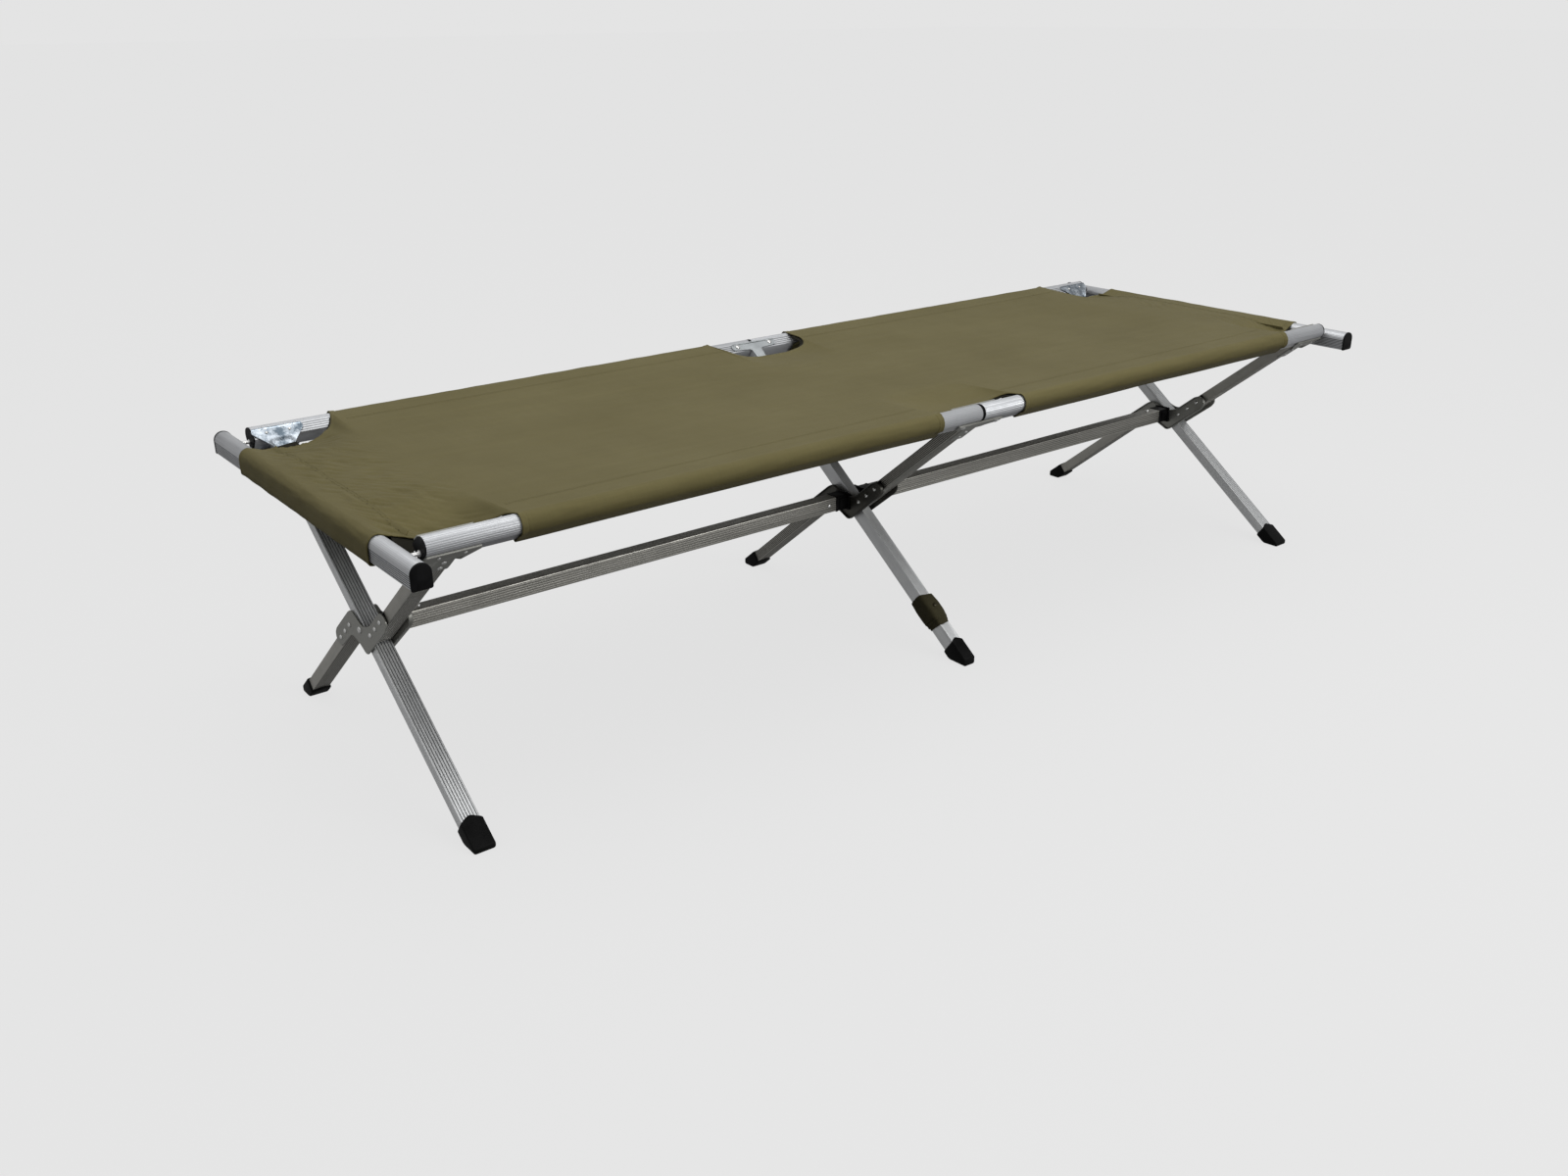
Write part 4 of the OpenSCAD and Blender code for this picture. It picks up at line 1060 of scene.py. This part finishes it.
def bar_sleeve(cloth, sign, field_end):
    """The same round one end bar, in a line of points at each step round it."""
    path, around = bar_path(), []
    for start in field_end:
        y = cloth.verts[start][1]
        ends = 0.227 - abs(y)
        around.append([start])
        for k, (x, z) in enumerate(path):
            swell = 0.0006 * drift(y * 30, k * 0.3, 8.0 + sign) + 0.0006 * math.exp(-(ends / 0.008) ** 4)
            swell += 0.0006 * drift(y * 11, 3.0, 8.0 + sign) * smooth((6 - k) / 5)
            slack = 0.0010 * smooth((k - 13) / 4) * (0.5 + drift(y * 7, 5.0, sign))
            away = Vector((x - BAR_X, z - BAR_CROWN_Z)).normalized()
            away *= max(swell, -0.0003) * smooth((k + 1) / 3)
            around[-1].append(cloth.point(sign * (x + away.x), y, z + away.y - slack,
                                          sign * (BAR_X + 0.003 * (k + 1)), y))
    lines = list(zip(*around))
    for one, two in zip(lines, lines[1:]):
        cloth.strip(one, two, sign < 0)


def make_canvas(rows=201):
    cloth, xs = Cloth(), columns()
    across = [-1 + 2 * i / (rows - 1) for i in range(rows)]
    across = [math.copysign(abs(v) ** 0.9, v) for v in across]
    field = []
    for x in xs:
        reach = (edge(x)[0], edge(x, True)[0])
        ys = [v * reach[v > 0] for v in across]
        field.append([cloth.point(x, y, field_z(x, y), x, y) for y in ys])
    for one, two in zip(field, field[1:]):
        cloth.strip(one, two)
    rail_sleeve(cloth, 1, xs, [line[-1] for line in field])
    rail_sleeve(cloth, -1, xs, [line[0] for line in field])
    bar_sleeve(cloth, 1, field[-1])
    bar_sleeve(cloth, -1, field[0])
    mesh = bpy.data.meshes.new("canvas_cover_cloth")
    mesh.from_pydata(cloth.verts, [], cloth.faces)
    layer = mesh.uv_layers.new(name="UVMap")
    for loop in mesh.loops:
        layer.data[loop.index].uv = cloth.flat[loop.vertex_index]
    obj = place("canvas_cover_cloth", mesh, CANVAS)
    mod = obj.modifiers.new("thick", "SOLIDIFY")
    mod.thickness, mod.offset = CLOTH, 0.0
    thick = obj.evaluated_get(bpy.context.evaluated_depsgraph_get())
    final = bpy.data.meshes.new_from_object(thick)
    obj.modifiers.clear()
    obj.data = final
    final.name = "canvas_cover_cloth"
    return obj


def stem_top(y):
    """Height of the top of a bracket stem where a leg passes under the cloth's cut edge."""
    d = (RAIL_Y - y) / cos(LONG_A)
    return RAIL_Z - d * sin(LONG_A) + (LEG_T / 2 + 0.0042) / cos(LONG_A)


def shade_flap_row(x, back, across):
    """Points of the shade flap at x, from inside the cut edge to its outer rim."""
    a, (e, z), d = abs(x), edge(x, back), 0.0004
    middle = a < 0.5
    slope = (edge(x + d, back)[0] - edge(x - d, back)[0]) / (2 * d)
    out = Vector((-slope, 1.0)).normalized()
    wide = 0.017 + 0.016 * smooth((a - 0.882) / 0.02)
    wide *= smooth((SLEEVE_IN - a) / 0.02) if middle else smooth((a - 0.788) / 0.03)
    share, fall = (1.0, 0.75) if back or not middle else (0.3, 0.25)
    over_leg = smooth(1 - (abs(a - LEG_X) - 0.0165) / 0.012)
    wide = min(max(wide * share, 0.003), 0.010 + 0.03 * (1 - over_leg))
    row = []
    for t in across:
        reach = t if t < 0 else t * wide
        py = e + out.y * reach
        pz = z - 0.0016 - max(reach, 0.0) * fall
        pz += over_leg * max(0.0, stem_top(py) + 0.0005 - pz)
        row.append((x + out.x * reach, py if back else -py, pz))
    return row


def make_shade_flap():
    """A cloth flap under the cut edges, coloured near black as painted shade for the dark gaps at the
    cut-outs; it slopes down and out from them.
    """
    shape = Shape()
    middle = [-0.0868 + 0.1736 * i / 60 for i in range(61)]
    corner = [0.7915 + (0.9215 - 0.7915) * i / 54 for i in range(55)]
    across = (-0.006, -0.003, 0.0, 0.25, 0.5, 0.75, 1.0)
    for run in (middle, [-x for x in corner], corner):
        for back in (False, True):
            top = [p for x in run for p in shade_flap_row(x, back, across)]
            under = [(x, y, z - 0.0010) for x, y, z in top]
            shape.add(top + under, slab(len(across), len(run)))
    return shape.build("canvas_edge_shade_flap", SHADE_FLAP_CLOTH, None, sharp=60)


# half length, half width and height of a stitch, and the distance from one to the next
STITCH_L, STITCH_W, STITCH_H, PITCH = 0.0015, 0.00034, 0.00036, 0.0046


def stitch(shape, x, y, along):
    """One stitch lying on the field, along the cot or across it."""
    z = field_z(x, y) + CLOTH / 2
    verts = []
    for k, h in ((1.0, -0.0003), (1.0, 0.0001), (0.62, STITCH_H)):
        for u, v in ((-1, -1), (1, -1), (1, 1), (-1, 1)):
            du, dv = u * STITCH_L * k, v * STITCH_W * k
            px, py = (x + du, y + dv) if along else (x + dv, y + du)
            verts.append((px, py, z + h))
    faces = [(3, 2, 1, 0), (8, 9, 10, 11)]
    for r in (0, 4):
        faces += [(r + i, r + (i + 1) % 4, r + 4 + (i + 1) % 4, r + 4 + i) for i in range(4)]
    shape.add(verts, faces)


def make_stitches():
    """Two rows of thread along each sleeve seam."""
    shape = Shape()
    for sy in (-1, 1):
        for row in (0.0455, 0.0415):
            for side in (-1, 1):
                for i in range(int((0.786 - 0.092) / PITCH)):
                    stitch(shape, side * (0.092 + (i + 0.5) * PITCH), sy * (CROWN_Y - row), True)
    for side in (-1, 1):
        for row in (0.0375, 0.0335):
            for i in range(96):
                stitch(shape, side * (BAR_X - row), -0.2205 + (i + 0.5) * PITCH, False)
    return shape.build("canvas_seam_thread", THREAD, None, sharp=60)


def run_length(points):
    return sum(math.dist(a, b) for a, b in zip(points, points[1:]))


canvas, shade_flap, thread = make_canvas(), make_shade_flap(), make_stitches()
for piece in (canvas, shade_flap, thread):
    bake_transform(piece)
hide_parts("canvas_cover")
cut_size = (2 * (FULL + run_length(sleeve_path(1))), 2 * (BAR_X + run_length(bar_path())))

# ---------- studio ----------
PALE = 0.775
FLOOR_Z, FLOOR_HALF = -0.0004, 60


def grey(*stops):
    return [(where, (v, v, v)) for where, v in stops]


def pale_floor():
    """A pale surface that mostly glows by itself, so that it keeps one tone with soft shadows."""
    n = Material("pale_floor")
    grain = n.noise(n.coords("Object", (3, 3, 3)))
    n.set(color=n.ramp(grain, grey((0.3, PALE), (0.7, 0.79))), rough=0.9, spec=0.0)
    glow = n.node("Emission", {"Color": (PALE, PALE, PALE, 1), "Strength": 1.0})
    both = n.node("MixShader", {0: 0.93, 1: n.bsdf.outputs[0], 2: glow.outputs[0]})
    n.put(n.tree.nodes["Material Output"].inputs["Surface"], both.outputs[0])
    return n.mat


def add_floor():
    mesh = bpy.data.meshes.new("floor")
    corners = ((-1, -1), (1, -1), (1, 1), (-1, 1))
    mesh.from_pydata([(x * FLOOR_HALF, y * FLOOR_HALF, FLOOR_Z) for x, y in corners], [], [(0, 1, 2, 3)])
    mesh.materials.append(pale_floor())
    floor = bpy.data.objects.new("floor", mesh)
    scene.collection.objects.link(floor)
    floor.visible_diffuse = False
    floor.visible_glossy = False


def add_world():
    """Soft light by height, another for reflections, and a plain pale backdrop for the camera."""
    scene.world = bpy.data.worlds.new("studio")
    scene.world.use_nodes = True
    n = Nodes(scene.world.node_tree)
    n.tree.nodes.clear()
    split = n.node("SeparateXYZ", {0: n.node("TexCoord").outputs["Generated"]})
    height = n.span(split.outputs[2], -1.0, 1.0, 0.0, 1.0)
    rays = n.node("LightPath")

    def sky(*stops):
        """Grey by height, from straight down (0) to straight up (1)."""
        return n.node("Background", {0: n.ramp(height, grey(*stops)), 1: 1.0}).outputs[0]

    soft = sky((0.0, 0.03), (0.44, 0.06), (0.52, 0.18), (0.62, 0.42), (0.80, 0.86), (1.0, 1.1))
    mirrored = sky((0.0, 0.10), (0.25, 0.42), (0.44, 0.46), (0.55, 0.30), (0.80, 0.80), (1.0, 0.95))
    pale = n.node("Background", {0: (PALE, PALE, PALE, 1), 1: 1.0}).outputs[0]
    lit = n.node("MixShader", {0: rays.outputs["Is Glossy Ray"], 1: soft, 2: mirrored}).outputs[0]
    seen = n.node("MixShader", {0: rays.outputs["Is Camera Ray"], 1: lit, 2: pale}).outputs[0]
    n.node("OutputWorld", {0: seen})


def area_light(name, loc, target, size, power):
    data = bpy.data.lights.new(name, "AREA")
    data.shape, data.size, data.size_y, data.energy = "RECTANGLE", size[0], size[1], power
    lamp = bpy.data.objects.new(name, data)
    lamp.location = loc
    lamp.rotation_euler = (Vector(target) - Vector(loc)).to_track_quat("-Z", "Y").to_euler()
    scene.collection.objects.link(lamp)


def add_camera(target, distance, azimuth, elevation, roll, lens):
    """Looks at target from a distance; azimuth 0 looks along +Y."""
    data = bpy.data.cameras.new("camera")
    data.sensor_width, data.lens = 36.0, lens
    data.clip_start, data.clip_end = 0.05, 300
    camera = bpy.data.objects.new("camera", data)
    scene.collection.objects.link(camera)
    scene.camera = camera
    ahead = Vector((-sin(azimuth) * cos(elevation), cos(azimuth) * cos(elevation), -sin(elevation)))
    level = ahead.cross(Vector((0, 0, 1))).normalized()
    upright = level.cross(ahead)
    right, up = level * cos(roll) + upright * sin(roll), upright * cos(roll) - level * sin(roll)
    aim = Matrix((right, up, -ahead)).transposed().to_4x4()
    camera.matrix_world = Matrix.Translation(Vector(target) - ahead * distance) @ aim


add_floor()
add_world()
area_light("overhead", (-0.2, -0.2, 2.7), (0, 0, 0.4), (2.6, 1.6), 23.5)
area_light("front_key", (0.7, -3.1, 1.5), (-0.1, 0, 0.2), (2.4, 0.9), 55)
add_camera((-0.3432, -0.2464, 0.210), 2.0515, rad(-37.96), rad(22.58), rad(-0.45), 31.93515)
scene.view_settings.view_transform = "Standard"
